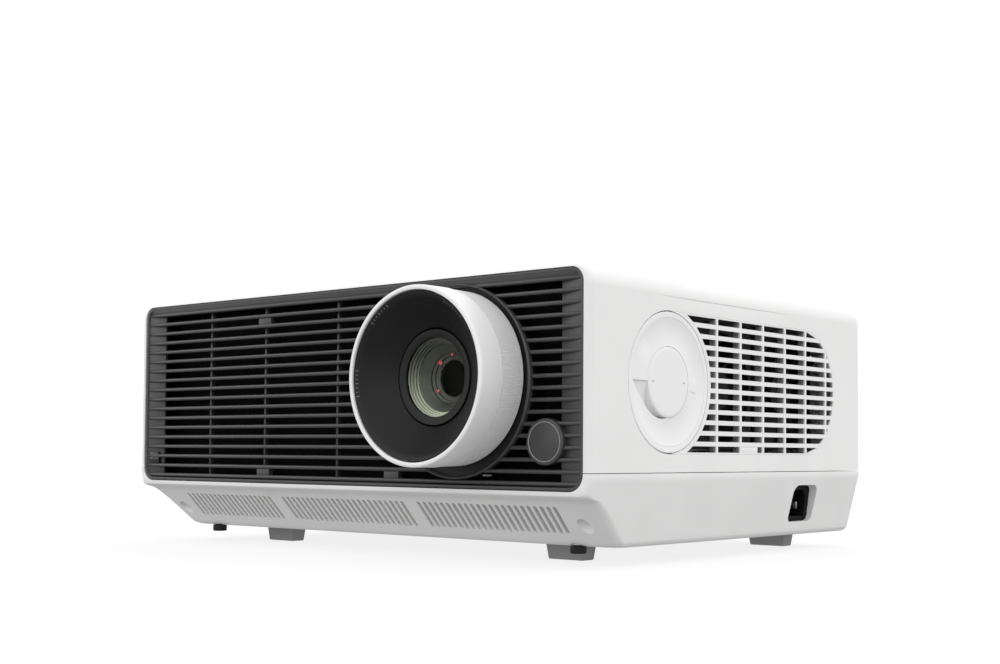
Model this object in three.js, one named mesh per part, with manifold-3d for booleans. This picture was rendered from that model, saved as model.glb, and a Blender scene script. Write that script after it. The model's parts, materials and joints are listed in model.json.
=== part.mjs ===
// A laser home projector: a two-part white casing with a louvred front, a lens that shifts up, down and
// sideways, and the light engine, boards and fans inside.
// Millimetres, +Z up, +X to the viewer's right when facing the lens, front towards -Y.
// The origin is on the table, below the middle of the whole object.
import * as THREE from 'three';
import { mergeVertices } from 'three/addons/utils/BufferGeometryUtils.js';
import Module from 'manifold-3d';

const wasm = await Module();
wasm.setup();

// ---- Driving dimensions -------------------------------------------------------------------------

const GAP = 0.3; // clearance between neighbouring pieces
const TURN_GAP = 0.7; // clearance round a piece that turns, whose round faces are many-sided
const WALL = 2.4; // casing wall

const CASE = {
  halfWidth: 185,
  front: -129,
  rear: 161,
  bottom: 10,
  seam: 49,
  top: 155,
  topRadius: 12, // long upper edges
  edgeRadius: 3.5, // front and rear outlines
  taperStart: 46, // the sides lean in below this height
  taperSlope: 0.295,
  bottomRadius: 5,
};

// Sloped underside of the nose, from the lip under the grille back to the flat bottom (y, z).
const NOSE = [
  [-129, 37],
  [-122.5, 35.2],
  [-117.9, 32.3],
  [-97.5, 14.3],
  [-93.5, 11.6],
  [-84, 10],
];

const NOSE_VENT = {
  pitch: 4.37,
  width: 1.9,
  lean: 0.18, // sideways step for each unit towards the rear
  startY: -117.2,
  endY: -100,
  groups: [
    { firstX: -148.6, count: 19 },
    { firstX: -56.8, count: 24 },
    { firstX: 56.8, count: 23 },
  ],
};

const FACE = {
  halfWidth: 180.5,
  bottom: 39.6,
  top: 152.6,
  topRadius: 8,
  bottomRadius: 9,
};

const GRILLE = {
  frontY: -128.6,
  rimWidth: 2,
  rimDepth: 12,
  barCount: 18,
  barPitch: 6.1,
  topBarZ: 147.1,
  barHeight: 2.3,
  barDepth: 5,
  ribDepth: 8,
  ribWidth: 1.6,
  ribX: [-118.5, -66, -2],
  stripInnerX: 164,
  stripFront: [0.9, 3.5], // how far back its face lies, outer edge and inner edge
  topBandFront: [0.4, 1.4], // the same for the band over the first bar
};

const LENS = {
  x: 94,
  z: 98.5,
  frontY: -161,
  ringRadius: 47.5,
  mouthRadius: 44.9,
  focusRear: -145.8,
  zoomFront: -145.3,
  zoomRear: -127,
  coneRearY: -144.5,
  coneRearRadius: 26,
  barrelRadius: 39.4,
  barrelInner: 36.4,
  barrelRear: -56,
};

const COLLAR = { z: 96.9, outer: 52.2, inner: 49.6, front: -128.9, rear: -116, throatZ: [96, 98.5] };
const BADGE = { x: 156.1, z: 64.7, radius: 10.4, bossRadius: 12.5 };
const RECEIVER = { x: -171.5, z: 53.5, width: 10, height: 9 };

const SIDE = { z: 97, radius: 38.1, frontY: -59, rearY: 88 }; // long round-ended opening on each side
const SIDE_VENT = {
  rows: 13,
  pitch: 5.9,
  slotHeight: 3.4,
  skin: 2.4,
  border: 0.9,
  ribDepth: 8,
  ribWidth: 1.8,
  ribY: [-11.7, 13.6, 38.7, 64.1, 89.4, 115],
};

const DIAL = { y: -59, z: 97, dishRadius: 37.6, knobRadius: 19, ringInner: 19.7, ringOuter: 34.2 };
const DIAL_RECESS = { floor: 181.2, edge: [[180, 33], [190, 29.5], [201, 26], [217, 25], [233, 23], [260, 20.2]] };
const INLET = { y: 92, z: 29.5, width: 26, height: 22 };
const FOOT = { width: 25, depth: 12, height: 10, frontX: 119.2, frontY: -58.4, rearX: 136, rearY: 135 };
const SCREW_FOOT = { x: 148.8, y: -90.6, radius: 4.7, stud: 3.4, tipBottom: 6.2, tipTop: 10.6, studTop: 36 };
const CASE_SCREW = {
  x: 165.8,
  frontY: -107,
  frontHead: 30,
  frontTop: 38.8,
  rearX: 158,
  rearY: 146,
  rearHead: 10.8,
  rearTop: 24.8,
  headRadius: 2.9,
  headHeight: 2,
  shankRadius: 1.5,
};
const CEILING_BOSS = {
  radius: 4.5,
  hole: 1.7,
  face: 9.2,
  holeTop: 16.5,
  top: 18.5,
  x: [-50, 30],
  y: [-50, 110],
};
const REAR_PANEL = { left: -150, right: 70, bottom: 58, top: 104, skin: 2 };
const FAN = { size: 70, thickness: 18, bore: 33, hub: 13, blades: 7 };

const ROUND = 24; // sides of a large circle
const SMALL_ROUND = 10; // sides of a small circle

// ---- Geometry helpers ---------------------------------------------------------------------------

const AXIS_FRAMES = {
  x: [new THREE.Vector3(0, 1, 0), new THREE.Vector3(0, 0, 1), new THREE.Vector3(1, 0, 0)],
  y: [new THREE.Vector3(1, 0, 0), new THREE.Vector3(0, 0, 1), new THREE.Vector3(0, -1, 0)],
  z: [new THREE.Vector3(1, 0, 0), new THREE.Vector3(0, 1, 0), new THREE.Vector3(0, 0, 1)],
};

// Six times the volume that the triangles enclose, negative when they face inwards.
function signedVolume(position, triangles) {
  const a = new THREE.Vector3();
  const b = new THREE.Vector3();
  const c = new THREE.Vector3();
  let total = 0;
  for (let i = 0; i < triangles.length; i += 3) {
    a.fromBufferAttribute(position, triangles[i]);
    b.fromBufferAttribute(position, triangles[i + 1]);
    c.fromBufferAttribute(position, triangles[i + 2]);
    total += a.dot(b.cross(c));
  }
  return total;
}

// Welds a closed geometry, drops its zero-width triangles and turns it outwards.
function toSolid(geometry) {
  const bare = geometry.clone();
  bare.deleteAttribute('normal');
  bare.deleteAttribute('uv');
  const welded = mergeVertices(bare, 1e-4);
  const index = welded.index.array;
  const triangles = [];
  for (let i = 0; i < index.length; i += 3) {
    const [a, b, c] = [index[i], index[i + 1], index[i + 2]];
    if (a !== b && b !== c && c !== a) triangles.push(a, b, c);
  }
  if (signedVolume(welded.attributes.position, triangles) < 0) triangles.reverse();
  return new wasm.Manifold(
    new wasm.Mesh({
      numProp: 3,
      vertProperties: new Float32Array(welded.attributes.position.array),
      triVerts: new Uint32Array(triangles),
    }),
  );
}

function toGeometry(solid) {
  const mesh = solid.getMesh();
  const geometry = new THREE.BufferGeometry();
  geometry.setAttribute('position', new THREE.BufferAttribute(mesh.vertProperties, 3));
  geometry.setIndex(new THREE.BufferAttribute(mesh.triVerts, 1));
  geometry.computeVertexNormals();
  return geometry;
}

function join(solids) {
  return solids.reduce((whole, next) => whole.add(next));
}

// A box between two corners.
function block(x0, x1, y0, y1, z0, z1) {
  const geometry = new THREE.BoxGeometry(x1 - x0, y1 - y0, z1 - z0);
  geometry.translate((x0 + x1) / 2, (y0 + y1) / 2, (z0 + z1) / 2);
  return toSolid(geometry);
}

// An outline pushed along an axis. Outlines are (y, z) for x, (x, z) for y and (x, y) for z.
// Each arc of the outline has twice as many sides as the curve count.
function prism(shape, axis, from, to, { bevel = 0, curve = 2 } = {}) {
  const geometry = new THREE.ExtrudeGeometry(shape, {
    depth: to - from - 2 * bevel,
    bevelEnabled: bevel > 0,
    bevelSize: bevel,
    bevelThickness: bevel,
    bevelOffset: -bevel,
    bevelSegments: 1,
    curveSegments: curve,
  });
  const start = axis === 'y' ? -to : from;
  geometry.translate(0, 0, start + bevel);
  geometry.applyMatrix4(new THREE.Matrix4().makeBasis(...AXIS_FRAMES[axis]));
  return toSolid(geometry);
}

function outline(points) {
  return new THREE.Shape(points.map(([u, v]) => new THREE.Vector2(u, v)));
}

// A rectangle whose lower and upper corners have their own radii.
function roundedRectangle(u0, u1, v0, v1, lower, upper = lower) {
  const shape = new THREE.Shape();
  shape.absarc(u0 + lower, v0 + lower, lower, Math.PI, 1.5 * Math.PI);
  shape.absarc(u1 - lower, v0 + lower, lower, 1.5 * Math.PI, 2 * Math.PI);
  shape.absarc(u1 - upper, v1 - upper, upper, 0, 0.5 * Math.PI);
  shape.absarc(u0 + upper, v1 - upper, upper, 0.5 * Math.PI, Math.PI);
  shape.closePath();
  return shape;
}

// A cylinder with its axis along x, y or z; the centre is given by the two other coordinates.
function rod(axis, radius, from, to, u, v, sides = SMALL_ROUND) {
  const geometry = new THREE.CylinderGeometry(radius, radius, to - from, sides);
  geometry.translate(0, (from + to) / 2, 0);
  if (axis === 'x') {
    geometry.rotateZ(-Math.PI / 2);
    geometry.translate(0, u, v);
  } else if (axis === 'y') {
    geometry.translate(u, 0, v);
  } else {
    geometry.rotateX(Math.PI / 2);
    geometry.translate(u, v, 0);
  }
  return toSolid(geometry);
}

// A turned piece from a closed profile of (radius, distance along the axis) points.
function turned(axis, profile, u, v, sides = ROUND) {
  const points = profile.map(([radius, along]) => new THREE.Vector2(radius, along));
  const geometry = new THREE.LatheGeometry([...points, points[0].clone()], sides);
  if (axis === 'x') {
    geometry.rotateZ(-Math.PI / 2);
    geometry.translate(0, u, v);
  } else if (axis === 'y') {
    geometry.translate(u, 0, v);
  } else {
    geometry.rotateX(Math.PI / 2);
    geometry.translate(u, v, 0);
  }
  return toSolid(geometry);
}

// ---- Materials and the assembly -----------------------------------------------------------------

const FINISHES = {
  whitePlastic: { color: 0xe9e9e8, roughness: 0.45, metalness: 0 },
  charcoalPlastic: { color: 0x3a3a3c, roughness: 0.4, metalness: 0 },
  blackPlastic: { color: 0x141415, roughness: 0.5, metalness: 0 },
  greyRubber: { color: 0x757575, roughness: 0.75, metalness: 0 },
  opticalGlass: { color: 0x6f7f78, roughness: 0.05, metalness: 0 },
  redWindow: { color: 0x2a1418, roughness: 0.1, metalness: 0 },
  aluminium: { color: 0xb4b6b8, roughness: 0.35, metalness: 1 },
  magnesium: { color: 0x8d8f92, roughness: 0.55, metalness: 0.8 },
  steel: { color: 0x9a9a9a, roughness: 0.3, metalness: 1 },
  brass: { color: 0xb58d3d, roughness: 0.3, metalness: 1 },
  circuitBoard: { color: 0x1f5a38, roughness: 0.5, metalness: 0 },
  phosphor: { color: 0xd8c43c, roughness: 0.6, metalness: 0 },
};

const projector = new THREE.Group();

function place(name, solid, finish) {
  const mesh = new THREE.Mesh(toGeometry(solid), new THREE.MeshStandardMaterial(FINISHES[finish]));
  mesh.name = name;
  projector.add(mesh);
}

// ---- Casing -------------------------------------------------------------------------------------

// Cross-section of the casing seen from the front, moved inwards by an inset.
function caseSection(inset) {
  const { halfWidth, bottom, top, taperStart, taperSlope, topRadius, bottomRadius } = CASE;
  const side = halfWidth - inset;
  const foot = side - taperSlope * (taperStart - bottom);
  const radius = topRadius - inset;
  const low = bottom + inset;
  const high = top - inset;
  const shape = new THREE.Shape();
  shape.moveTo(-foot + bottomRadius, low);
  shape.lineTo(foot - bottomRadius, low);
  shape.quadraticCurveTo(foot, low, foot + taperSlope * bottomRadius, low + bottomRadius);
  shape.lineTo(side, taperStart);
  shape.absarc(side - radius, high - radius, radius, 0, Math.PI / 2);
  shape.absarc(radius - side, high - radius, radius, Math.PI / 2, Math.PI);
  shape.lineTo(-side, taperStart);
  shape.lineTo(-foot - taperSlope * bottomRadius, low + bottomRadius);
  shape.quadraticCurveTo(-foot, low, -foot + bottomRadius, low);
  return shape;
}

// Solid of the casing's outside, moved inwards by an inset, with the nose cut away underneath.
function caseSolid(inset) {
  const body = prism(
    caseSection(inset),
    'y',
    CASE.front + inset,
    CASE.rear - inset,
    { bevel: CASE.edgeRadius - inset, curve: 3 },
  );
  const slopeShift = inset * 1.25;
  const below = outline([
    [CASE.front - 20, CASE.bottom - 20],
    [CASE.front - 20, NOSE[0][1] + slopeShift],
    ...NOSE.map(([y, z]) => [y, z + slopeShift]),
    [NOSE.at(-1)[0] + 0.1, CASE.bottom - 20],
  ]);
  return body.subtract(prism(below, 'x', -CASE.halfWidth - 10, CASE.halfWidth + 10));
}

// A round-ended solid, used for the long openings on both sides and for the grilles in them.
function sidePrism(inset, from, to) {
  const shape = new THREE.Shape();
  const radius = SIDE.radius - inset;
  shape.absarc(SIDE.rearY, SIDE.z, radius, -Math.PI / 2, Math.PI / 2);
  shape.absarc(SIDE.frontY, SIDE.z, radius, Math.PI / 2, 1.5 * Math.PI);
  shape.closePath();
  return prism(shape, 'x', from, to, { curve: 7 });
}

function faceOutline(inset) {
  return roundedRectangle(
    -FACE.halfWidth + inset,
    FACE.halfWidth - inset,
    FACE.bottom + inset,
    FACE.top - inset,
    FACE.bottomRadius - inset,
    FACE.topRadius - inset,
  );
}

function noseSlot(x) {
  const run = NOSE_VENT.endY - NOSE_VENT.startY;
  const lean = NOSE_VENT.lean * run;
  const half = NOSE_VENT.width / 2;
  return outline([
    [x - half, NOSE_VENT.startY],
    [x + half, NOSE_VENT.startY],
    [x - lean + half, NOSE_VENT.endY],
    [x - lean - half, NOSE_VENT.endY],
  ]);
}

const shell = caseSolid(0)
  .subtract(caseSolid(WALL))
  .subtract(prism(faceOutline(0), 'y', CASE.front - 5, CASE.front + 12));

function upperHalf() {
  const keep = block(-200, 200, -200, 200, CASE.seam + GAP / 2, CASE.top + 10);
  const sideOpening = sidePrism(0, -CASE.halfWidth - 5, CASE.halfWidth + 5);
  const { left, right, bottom, top } = REAR_PANEL;
  const rearOpening = block(left, right, CASE.rear - 10, CASE.rear + 5, bottom, top);
  const receiverHole = rod('y', 4.3, CASE.rear - 10, CASE.rear + 5, 150, 120);
  const keyHole = rod('y', 6.3, CASE.rear - 10, CASE.rear + 5, 110, 81);
  return shell
    .intersect(keep)
    .subtract(sideOpening)
    .subtract(rearOpening)
    .subtract(receiverHole)
    .subtract(keyHole);
}

function lowerHalf() {
  const keep = block(-200, 200, -200, 200, 0, CASE.seam - GAP / 2);
  const slots = NOSE_VENT.groups.flatMap(({ firstX, count }) =>
    Array.from({ length: count }, (_, i) => {
      return prism(noseSlot(firstX + i * NOSE_VENT.pitch), 'z', CASE.bottom - 1, CASE.seam - 5);
    }),
  );
  const inlet = prism(
    roundedRectangle(
      INLET.y - INLET.width / 2,
      INLET.y + INLET.width / 2,
      INLET.z - INLET.height / 2,
      INLET.z + INLET.height / 2,
      3,
    ),
    'x',
    CASE.halfWidth - 20,
    CASE.halfWidth + 5,
  );
  const { x: screwX, frontY, rearX, rearY, headRadius, headHeight, shankRadius } = CASE_SCREW;
  const { frontHead, frontTop, rearHead } = CASE_SCREW;
  const wells = [-1, 1].flatMap((side) => [
    rod('z', headRadius + 1.2, 0, frontHead + headHeight + 0.4, side * screwX, frontY),
    rod('z', shankRadius + GAP, 0, frontTop + 2, side * screwX, frontY),
    rod('z', headRadius + 0.6, 0, rearHead + headHeight + 0.4, side * rearX, rearY),
    rod('z', shankRadius + GAP, 0, 40, side * rearX, rearY),
  ]);
  const screwPosts = [-1, 1].flatMap((side) => [
    rod('z', headRadius + 2.6, 18, frontTop - 3, side * screwX, frontY),
    rod('z', headRadius + 2.6, 11, 24, side * rearX, rearY),
  ]);
  const sleeves = [-1, 1].map((side) =>
    rod('z', SCREW_FOOT.radius + 2.4, 11, 34, side * SCREW_FOOT.x, SCREW_FOOT.y),
  );
  const standing = join([...sleeves, ...screwPosts]).intersect(caseSolid(0));
  const sleeveBores = [-1, 1].map((side) =>
    rod('z', SCREW_FOOT.radius + GAP, 0, 40, side * SCREW_FOOT.x, SCREW_FOOT.y),
  );
  const { radius, hole, face, holeTop, top } = CEILING_BOSS;
  const corners = CEILING_BOSS.x.flatMap((x) => CEILING_BOSS.y.map((y) => [x, y]));
  const bosses = corners.map(([x, y]) => rod('z', radius, face, top, x, y));
  const bossHoles = corners.map(([x, y]) => rod('z', hole, 0, holeTop, x, y));
  return join([shell.intersect(keep), standing, ...bosses])
    .subtract(join(slots))
    .subtract(inlet)
    .subtract(join(wells))
    .subtract(join(sleeveBores))
    .subtract(join(bossHoles));
}

place('top_cover', upperHalf(), 'whitePlastic');
place('lower_housing', lowerHalf(), 'whitePlastic');

// ---- Front grille, badge and remote receiver ----------------------------------------------------

// An upright slot with round ends, wide enough for the lens wherever the lens shift takes it.
function lensThroat(radius, from, to) {
  const [low, high] = COLLAR.throatZ;
  return join([
    rod('y', radius, from, to, LENS.x, low, ROUND),
    rod('y', radius, from, to, LENS.x, high, ROUND),
    block(LENS.x - radius, LENS.x + radius, from, to, low, high),
  ]);
}

function frontGrille() {
  const { frontY, rimWidth, rimDepth, barHeight, barDepth, ribDepth, ribWidth } = GRILLE;
  const rim = prism(faceOutline(GAP), 'y', frontY, frontY + rimDepth).subtract(
    prism(faceOutline(GAP + rimWidth), 'y', frontY - 5, frontY + rimDepth + 5),
  );
  const barEnd = FACE.halfWidth - rimWidth;
  const bars = Array.from({ length: GRILLE.barCount }, (_, i) => {
    const z = GRILLE.topBarZ - i * GRILLE.barPitch;
    const back = frontY + 1 + barDepth;
    return block(-barEnd, barEnd, frontY + 1, back, z - barHeight / 2, z + barHeight / 2);
  });
  const topBand = prism(
    outline([
      [frontY + GRILLE.topBandFront[0], FACE.top - rimWidth],
      [frontY + GRILLE.topBandFront[1], GRILLE.topBarZ],
      [frontY + barDepth, GRILLE.topBarZ],
      [frontY + barDepth, FACE.top - rimWidth],
    ]),
    'x',
    -barEnd + FACE.topRadius,
    barEnd - FACE.topRadius,
  );
  const ribFront = frontY + barDepth + 0.5;
  const ribs = GRILLE.ribX.map((x) =>
    block(
      x - ribWidth / 2,
      x + ribWidth / 2,
      ribFront,
      ribFront + ribDepth,
      FACE.bottom + rimWidth,
      FACE.top - rimWidth,
    ),
  );
  const strips = [-1, 1].map((side) => {
    const near = side * barEnd;
    const far = side * GRILLE.stripInnerX;
    const strip = outline([
      [near, frontY + GRILLE.stripFront[0]],
      [far, frontY + GRILLE.stripFront[1]],
      [far, frontY + rimDepth],
      [near, frontY + rimDepth],
    ]);
    return prism(strip, 'z', FACE.bottom + rimWidth, FACE.top - rimWidth);
  });
  const collar = rod('y', COLLAR.outer, COLLAR.front, COLLAR.rear, LENS.x, COLLAR.z, ROUND);
  const throat = lensThroat(COLLAR.inner, COLLAR.front - 9, COLLAR.rear + 9);
  const boss = rod('y', BADGE.bossRadius, frontY - 1, frontY + 7, BADGE.x, BADGE.z);
  const bossRecess = rod('y', BADGE.radius + GAP, frontY - 5, frontY + 2, BADGE.x, BADGE.z);
  const { x, z, width, height } = RECEIVER;
  const receiverPocket = block(
    x - width / 2 - GAP,
    x + width / 2 + GAP,
    frontY - 1,
    frontY + 9,
    z - height / 2 - GAP,
    z + height / 2 + GAP,
  );
  const opening = prism(faceOutline(GAP), 'y', COLLAR.front - 9, COLLAR.rear + 9);
  return join([rim, ...bars, topBand, ...ribs, ...strips, collar, boss])
    .intersect(opening)
    .subtract(throat)
    .subtract(bossRecess)
    .subtract(receiverPocket);
}

place('front_grille', frontGrille(), 'charcoalPlastic');

const badge = rod('y', BADGE.radius, GRILLE.frontY - 0.8, GRILLE.frontY + 1.6, BADGE.x, BADGE.z);
place('badge', badge, 'charcoalPlastic');

const receiverWindow = block(
  RECEIVER.x - RECEIVER.width / 2,
  RECEIVER.x + RECEIVER.width / 2,
  GRILLE.frontY + 1,
  GRILLE.frontY + 8,
  RECEIVER.z - RECEIVER.height / 2,
  RECEIVER.z + RECEIVER.height / 2,
);
place('ir_receiver', receiverWindow, 'redWindow');
place('rear_ir_receiver', rod('y', 4, CASE.rear - 9, CASE.rear - 0.4, 150, 120), 'redWindow');

// A black dust mesh stands behind the louvres, with a hole for the lens.
const meshFront = GRILLE.frontY + GRILLE.rimDepth + 2.2;
const dustMesh = block(-178, 178, meshFront, meshFront + 1.2, 41.5, 151)
  .subtract(rod('y', 52, meshFront - 5, meshFront + 5, LENS.x, COLLAR.z, ROUND));
place('dust_mesh', dustMesh, 'blackPlastic');

// ---- Side vent grilles --------------------------------------------------------------------------

// Slots in rows, held inside the round-ended outline.
function slotRows(outerX, innerX, rowEnd) {
  const inside = sidePrism(SIDE_VENT.border, innerX, outerX);
  const rows = Array.from({ length: SIDE_VENT.rows }, (_, i) => {
    const z = SIDE.z + (i - (SIDE_VENT.rows - 1) / 2) * SIDE_VENT.pitch;
    const half = SIDE_VENT.slotHeight / 2;
    return block(innerX, outerX, rowEnd, SIDE.rearY + SIDE.radius, z - half, z + half);
  });
  return join(rows).intersect(inside);
}

function ribsBehind(innerX, outerX, positions) {
  const half = SIDE_VENT.ribWidth / 2;
  const inside = sidePrism(SIDE_VENT.border - 0.4, innerX, outerX);
  const bars = positions.map((y) =>
    block(innerX, outerX, y - half, y + half, SIDE.z - SIDE.radius, SIDE.z + SIDE.radius),
  );
  return join(bars).intersect(inside);
}

// The right grille has a hollow front end that wraps round the dial dish, and a latch tab low down.
function rightVentGrille() {
  const outerX = CASE.halfWidth - 0.3;
  const innerX = outerX - SIDE_VENT.skin;
  const reach = DIAL.dishRadius;
  const plate = sidePrism(GAP, innerX, outerX);
  const slots = slotRows(outerX + 1, innerX - 1, DIAL.y).subtract(
    rod('x', reach + 2.6, innerX - 5, outerX + 5, DIAL.y, DIAL.z, ROUND),
  );
  const ribs = ribsBehind(outerX - SIDE_VENT.ribDepth, outerX - 0.6, SIDE_VENT.ribY);
  const latch = block(innerX, outerX, 15, 32, SIDE.z - 37, SIDE.z - 33);
  const thinTips = block(innerX - 20, outerX + 5, DIAL.y - 50, DIAL.y + 14, 0, CASE.top);
  return plate
    .subtract(slots)
    .add(ribs)
    .add(latch)
    .subtract(rod('x', reach + GAP, innerX - 20, outerX + 5, DIAL.y, DIAL.z, ROUND))
    .subtract(thinTips);
}

function leftVentGrille() {
  const outerX = -(CASE.halfWidth - 0.3);
  const innerX = outerX + SIDE_VENT.skin;
  const plate = sidePrism(GAP, outerX, innerX);
  const slots = slotRows(innerX + 1, outerX - 1, SIDE.frontY - SIDE.radius);
  const ribs = ribsBehind(outerX + 0.6, outerX + SIDE_VENT.ribDepth, [14.5]);
  return plate.subtract(slots).add(ribs);
}

place('side_vent_grille', rightVentGrille(), 'whitePlastic');
place('left_vent_grille', leftVentGrille(), 'whitePlastic');

// ---- Lens shift dials ---------------------------------------------------------------------------

const dishFloor = 176.5;
const dish = turned(
  'x',
  [
    [4.2, dishFloor - 2.2],
    [DIAL.dishRadius, dishFloor - 2.2],
    [DIAL.dishRadius, 184.7],
    [DIAL.ringOuter + TURN_GAP, 184.7],
    [DIAL.ringOuter + TURN_GAP, dishFloor],
    [4.2, dishFloor],
  ],
  DIAL.y,
  DIAL.z,
);
place('dial_dish', dish, 'whitePlastic');

// A point on the dial's face at an angle in degrees from the rear, turning upwards.
function dialPoint(angle, radius) {
  const turn = THREE.MathUtils.degToRad(angle);
  return [DIAL.y + radius * Math.cos(turn), DIAL.z + radius * Math.sin(turn)];
}

// The ring is hollowed towards the knob; its finger tab stands over a crescent recess.
function outerDial() {
  const { ringInner, ringOuter, knobRadius } = DIAL;
  const ring = turned(
    'x',
    [
      [ringInner, 177],
      [ringOuter, 177],
      [ringOuter, 184.5],
      [ringOuter - 3, 183.9],
      [ringOuter - 8, 183.4],
      [ringInner, 183.3],
    ],
    DIAL.y,
    DIAL.z,
  );
  const innerEdge = [260, 233, 217, 201, 190, 180].map((angle) => dialPoint(angle, knobRadius - 1));
  const crescent = outline([
    ...DIAL_RECESS.edge.map(([angle, radius]) => dialPoint(angle, radius)),
    ...innerEdge,
  ]);
  const tabAngles = [180, 173, 166, 159];
  const tab = outline([
    ...tabAngles.map((angle) => dialPoint(angle, ringOuter - 0.4)),
    ...tabAngles.toReversed().map((angle) => dialPoint(angle, ringInner + 0.4)),
  ]);
  return ring
    .subtract(prism(crescent, 'x', DIAL_RECESS.floor, 190))
    .add(prism(tab, 'x', 180, 184.6));
}

function innerDial() {
  return turned(
    'x',
    [
      [0, 165],
      [3.6, 165],
      [3.6, 177],
      [DIAL.knobRadius, 177],
      [DIAL.knobRadius, 183.9],
      [DIAL.knobRadius - 0.5, 184.4],
      [0, 184.4],
    ],
    DIAL.y,
    DIAL.z,
  );
}

place('vertical_shift_dial', outerDial(), 'whitePlastic');
place('horizontal_shift_dial', innerDial(), 'whitePlastic');

// ---- Rear panel and sockets ---------------------------------------------------------------------

const boardRearFace = 143;
const PORTS = [
  { name: 'hdmi_port_1', x: -122, width: 15.2, height: 6.2, tongue: [11, 1.2] },
  { name: 'hdmi_port_2', x: -96, width: 15.2, height: 6.2, tongue: [11, 1.2] },
  { name: 'usb_port', x: -70, width: 14.4, height: 7.2, tongue: [11, 1.6] },
  { name: 'lan_port', x: -42, width: 16.4, height: 13.6, tongue: [6, 1.6] },
];
const PORT_CENTRE_Z = 78;
const portWall = 0.8;
const JACK = { x: -12, outer: 4.2, bore: 1.9 };

function portBox(x, width, height, y0, y1, grow) {
  const halfWidth = width / 2 + grow;
  const halfHeight = height / 2 + grow;
  return block(x - halfWidth, x + halfWidth, y0, y1, PORT_CENTRE_Z - halfHeight, PORT_CENTRE_Z + halfHeight);
}

function rearPanel() {
  const { left, right, bottom, top, skin } = REAR_PANEL;
  const outer = CASE.rear - 0.6;
  const plate = block(left + GAP, right - GAP, outer - skin, outer, bottom + GAP, top - GAP);
  const cuts = PORTS.map(({ x, width, height }) => {
    return portBox(x, width, height, outer - 9, outer + 9, GAP);
  });
  const jackHole = rod('y', JACK.outer + GAP, outer - 9, outer + 9, JACK.x, PORT_CENTRE_Z);
  return plate.subtract(join([...cuts, jackHole]));
}

function port({ x, width, height, tongue }) {
  const mouth = CASE.rear - 0.8;
  const can = portBox(x, width, height, boardRearFace + GAP, mouth, 0);
  const hollow = portBox(x, width, height, boardRearFace + 3, mouth + 5, -portWall);
  const [tongueWidth, tongueHeight] = tongue;
  const blade = portBox(x, tongueWidth, tongueHeight, boardRearFace + 2, mouth - 2, 0);
  return can.subtract(hollow).add(blade);
}

place('rear_panel', rearPanel(), 'blackPlastic');
for (const socket of PORTS) place(socket.name, port(socket), 'steel');

const audioJack = turned(
  'y',
  [
    [0, boardRearFace + GAP],
    [JACK.outer, boardRearFace + GAP],
    [JACK.outer, CASE.rear - 0.8],
    [JACK.bore, CASE.rear - 0.8],
    [JACK.bore, boardRearFace + 4],
    [0, boardRearFace + 4],
  ],
  JACK.x,
  PORT_CENTRE_Z,
  SMALL_ROUND,
);
place('audio_jack', audioJack, 'blackPlastic');

const controlKey = turned(
  'y',
  [
    [0, 147],
    [2.2, 147],
    [2.2, 155],
    [6, 155],
    [6, 160],
    [5.2, 160.8],
    [0, 160.8],
  ],
  110,
  81,
  SMALL_ROUND,
);
place('control_key', controlKey, 'blackPlastic');

// ---- Power inlet --------------------------------------------------------------------------------

function powerInlet() {
  const halfWidth = INLET.width / 2 - GAP;
  const halfHeight = INLET.height / 2 - GAP;
  const mouth = 176;
  const body = prism(
    roundedRectangle(INLET.y - halfWidth, INLET.y + halfWidth, INLET.z - halfHeight, INLET.z + halfHeight, 2.6),
    'x',
    152,
    mouth,
  );
  const cavity = prism(
    outline([
      [INLET.y - 11, INLET.z - 8],
      [INLET.y + 11, INLET.z - 8],
      [INLET.y + 11, INLET.z + 3.5],
      [INLET.y + 7, INLET.z + 8],
      [INLET.y - 7, INLET.z + 8],
      [INLET.y - 11, INLET.z + 3.5],
    ]),
    'x',
    158,
    mouth + 5,
  );
  const blades = [
    [-7, -1.5],
    [0, 2.5],
    [7, -1.5],
  ].map(([y, z]) => block(157, 169, INLET.y + y - 1, INLET.y + y + 1, INLET.z + z - 2.4, INLET.z + z + 2.4));
  return body.subtract(cavity).add(join(blades));
}

place('ac_inlet', powerInlet(), 'blackPlastic');

// ---- Feet ---------------------------------------------------------------------------------------

// A fixed foot with its sides drafted in towards the table.
function fixedFoot(x, y) {
  const draft = 0.86;
  const top = CASE.bottom - GAP;
  const geometry = new THREE.BoxGeometry(FOOT.width, FOOT.depth, top);
  const position = geometry.attributes.position;
  for (let i = 0; i < position.count; i += 1) {
    if (position.getZ(i) < 0) {
      position.setX(i, position.getX(i) * draft);
      position.setY(i, position.getY(i) * draft);
    }
  }
  geometry.translate(x, y, top / 2);
  return toSolid(geometry);
}

for (const [side, sign] of [['left', -1], ['right', 1]]) {
  place(`foot_front_${side}`, fixedFoot(sign * FOOT.frontX, FOOT.frontY), 'greyRubber');
  place(`foot_rear_${side}`, fixedFoot(sign * FOOT.rearX, FOOT.rearY), 'greyRubber');
  const { x, y, radius, stud, tipBottom, tipTop, studTop } = SCREW_FOOT;
  const tip = rod('z', radius, tipBottom, tipTop, sign * x, y);
  place(`adjust_foot_${side}`, tip, 'blackPlastic');
  const screw = rod('z', stud, tipTop + GAP, studTop, sign * x, y);
  place(`adjust_stud_${side}`, screw, 'steel');
}

// Pan-head screws that hold the two halves of the casing together from below.
function caseScrew(x, y, headBottom, top) {
  const { headRadius, headHeight, shankRadius } = CASE_SCREW;
  const head = rod('z', headRadius, headBottom, headBottom + headHeight, x, y);
  return head.add(rod('z', shankRadius, headBottom + headHeight / 2, top, x, y));
}

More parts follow.
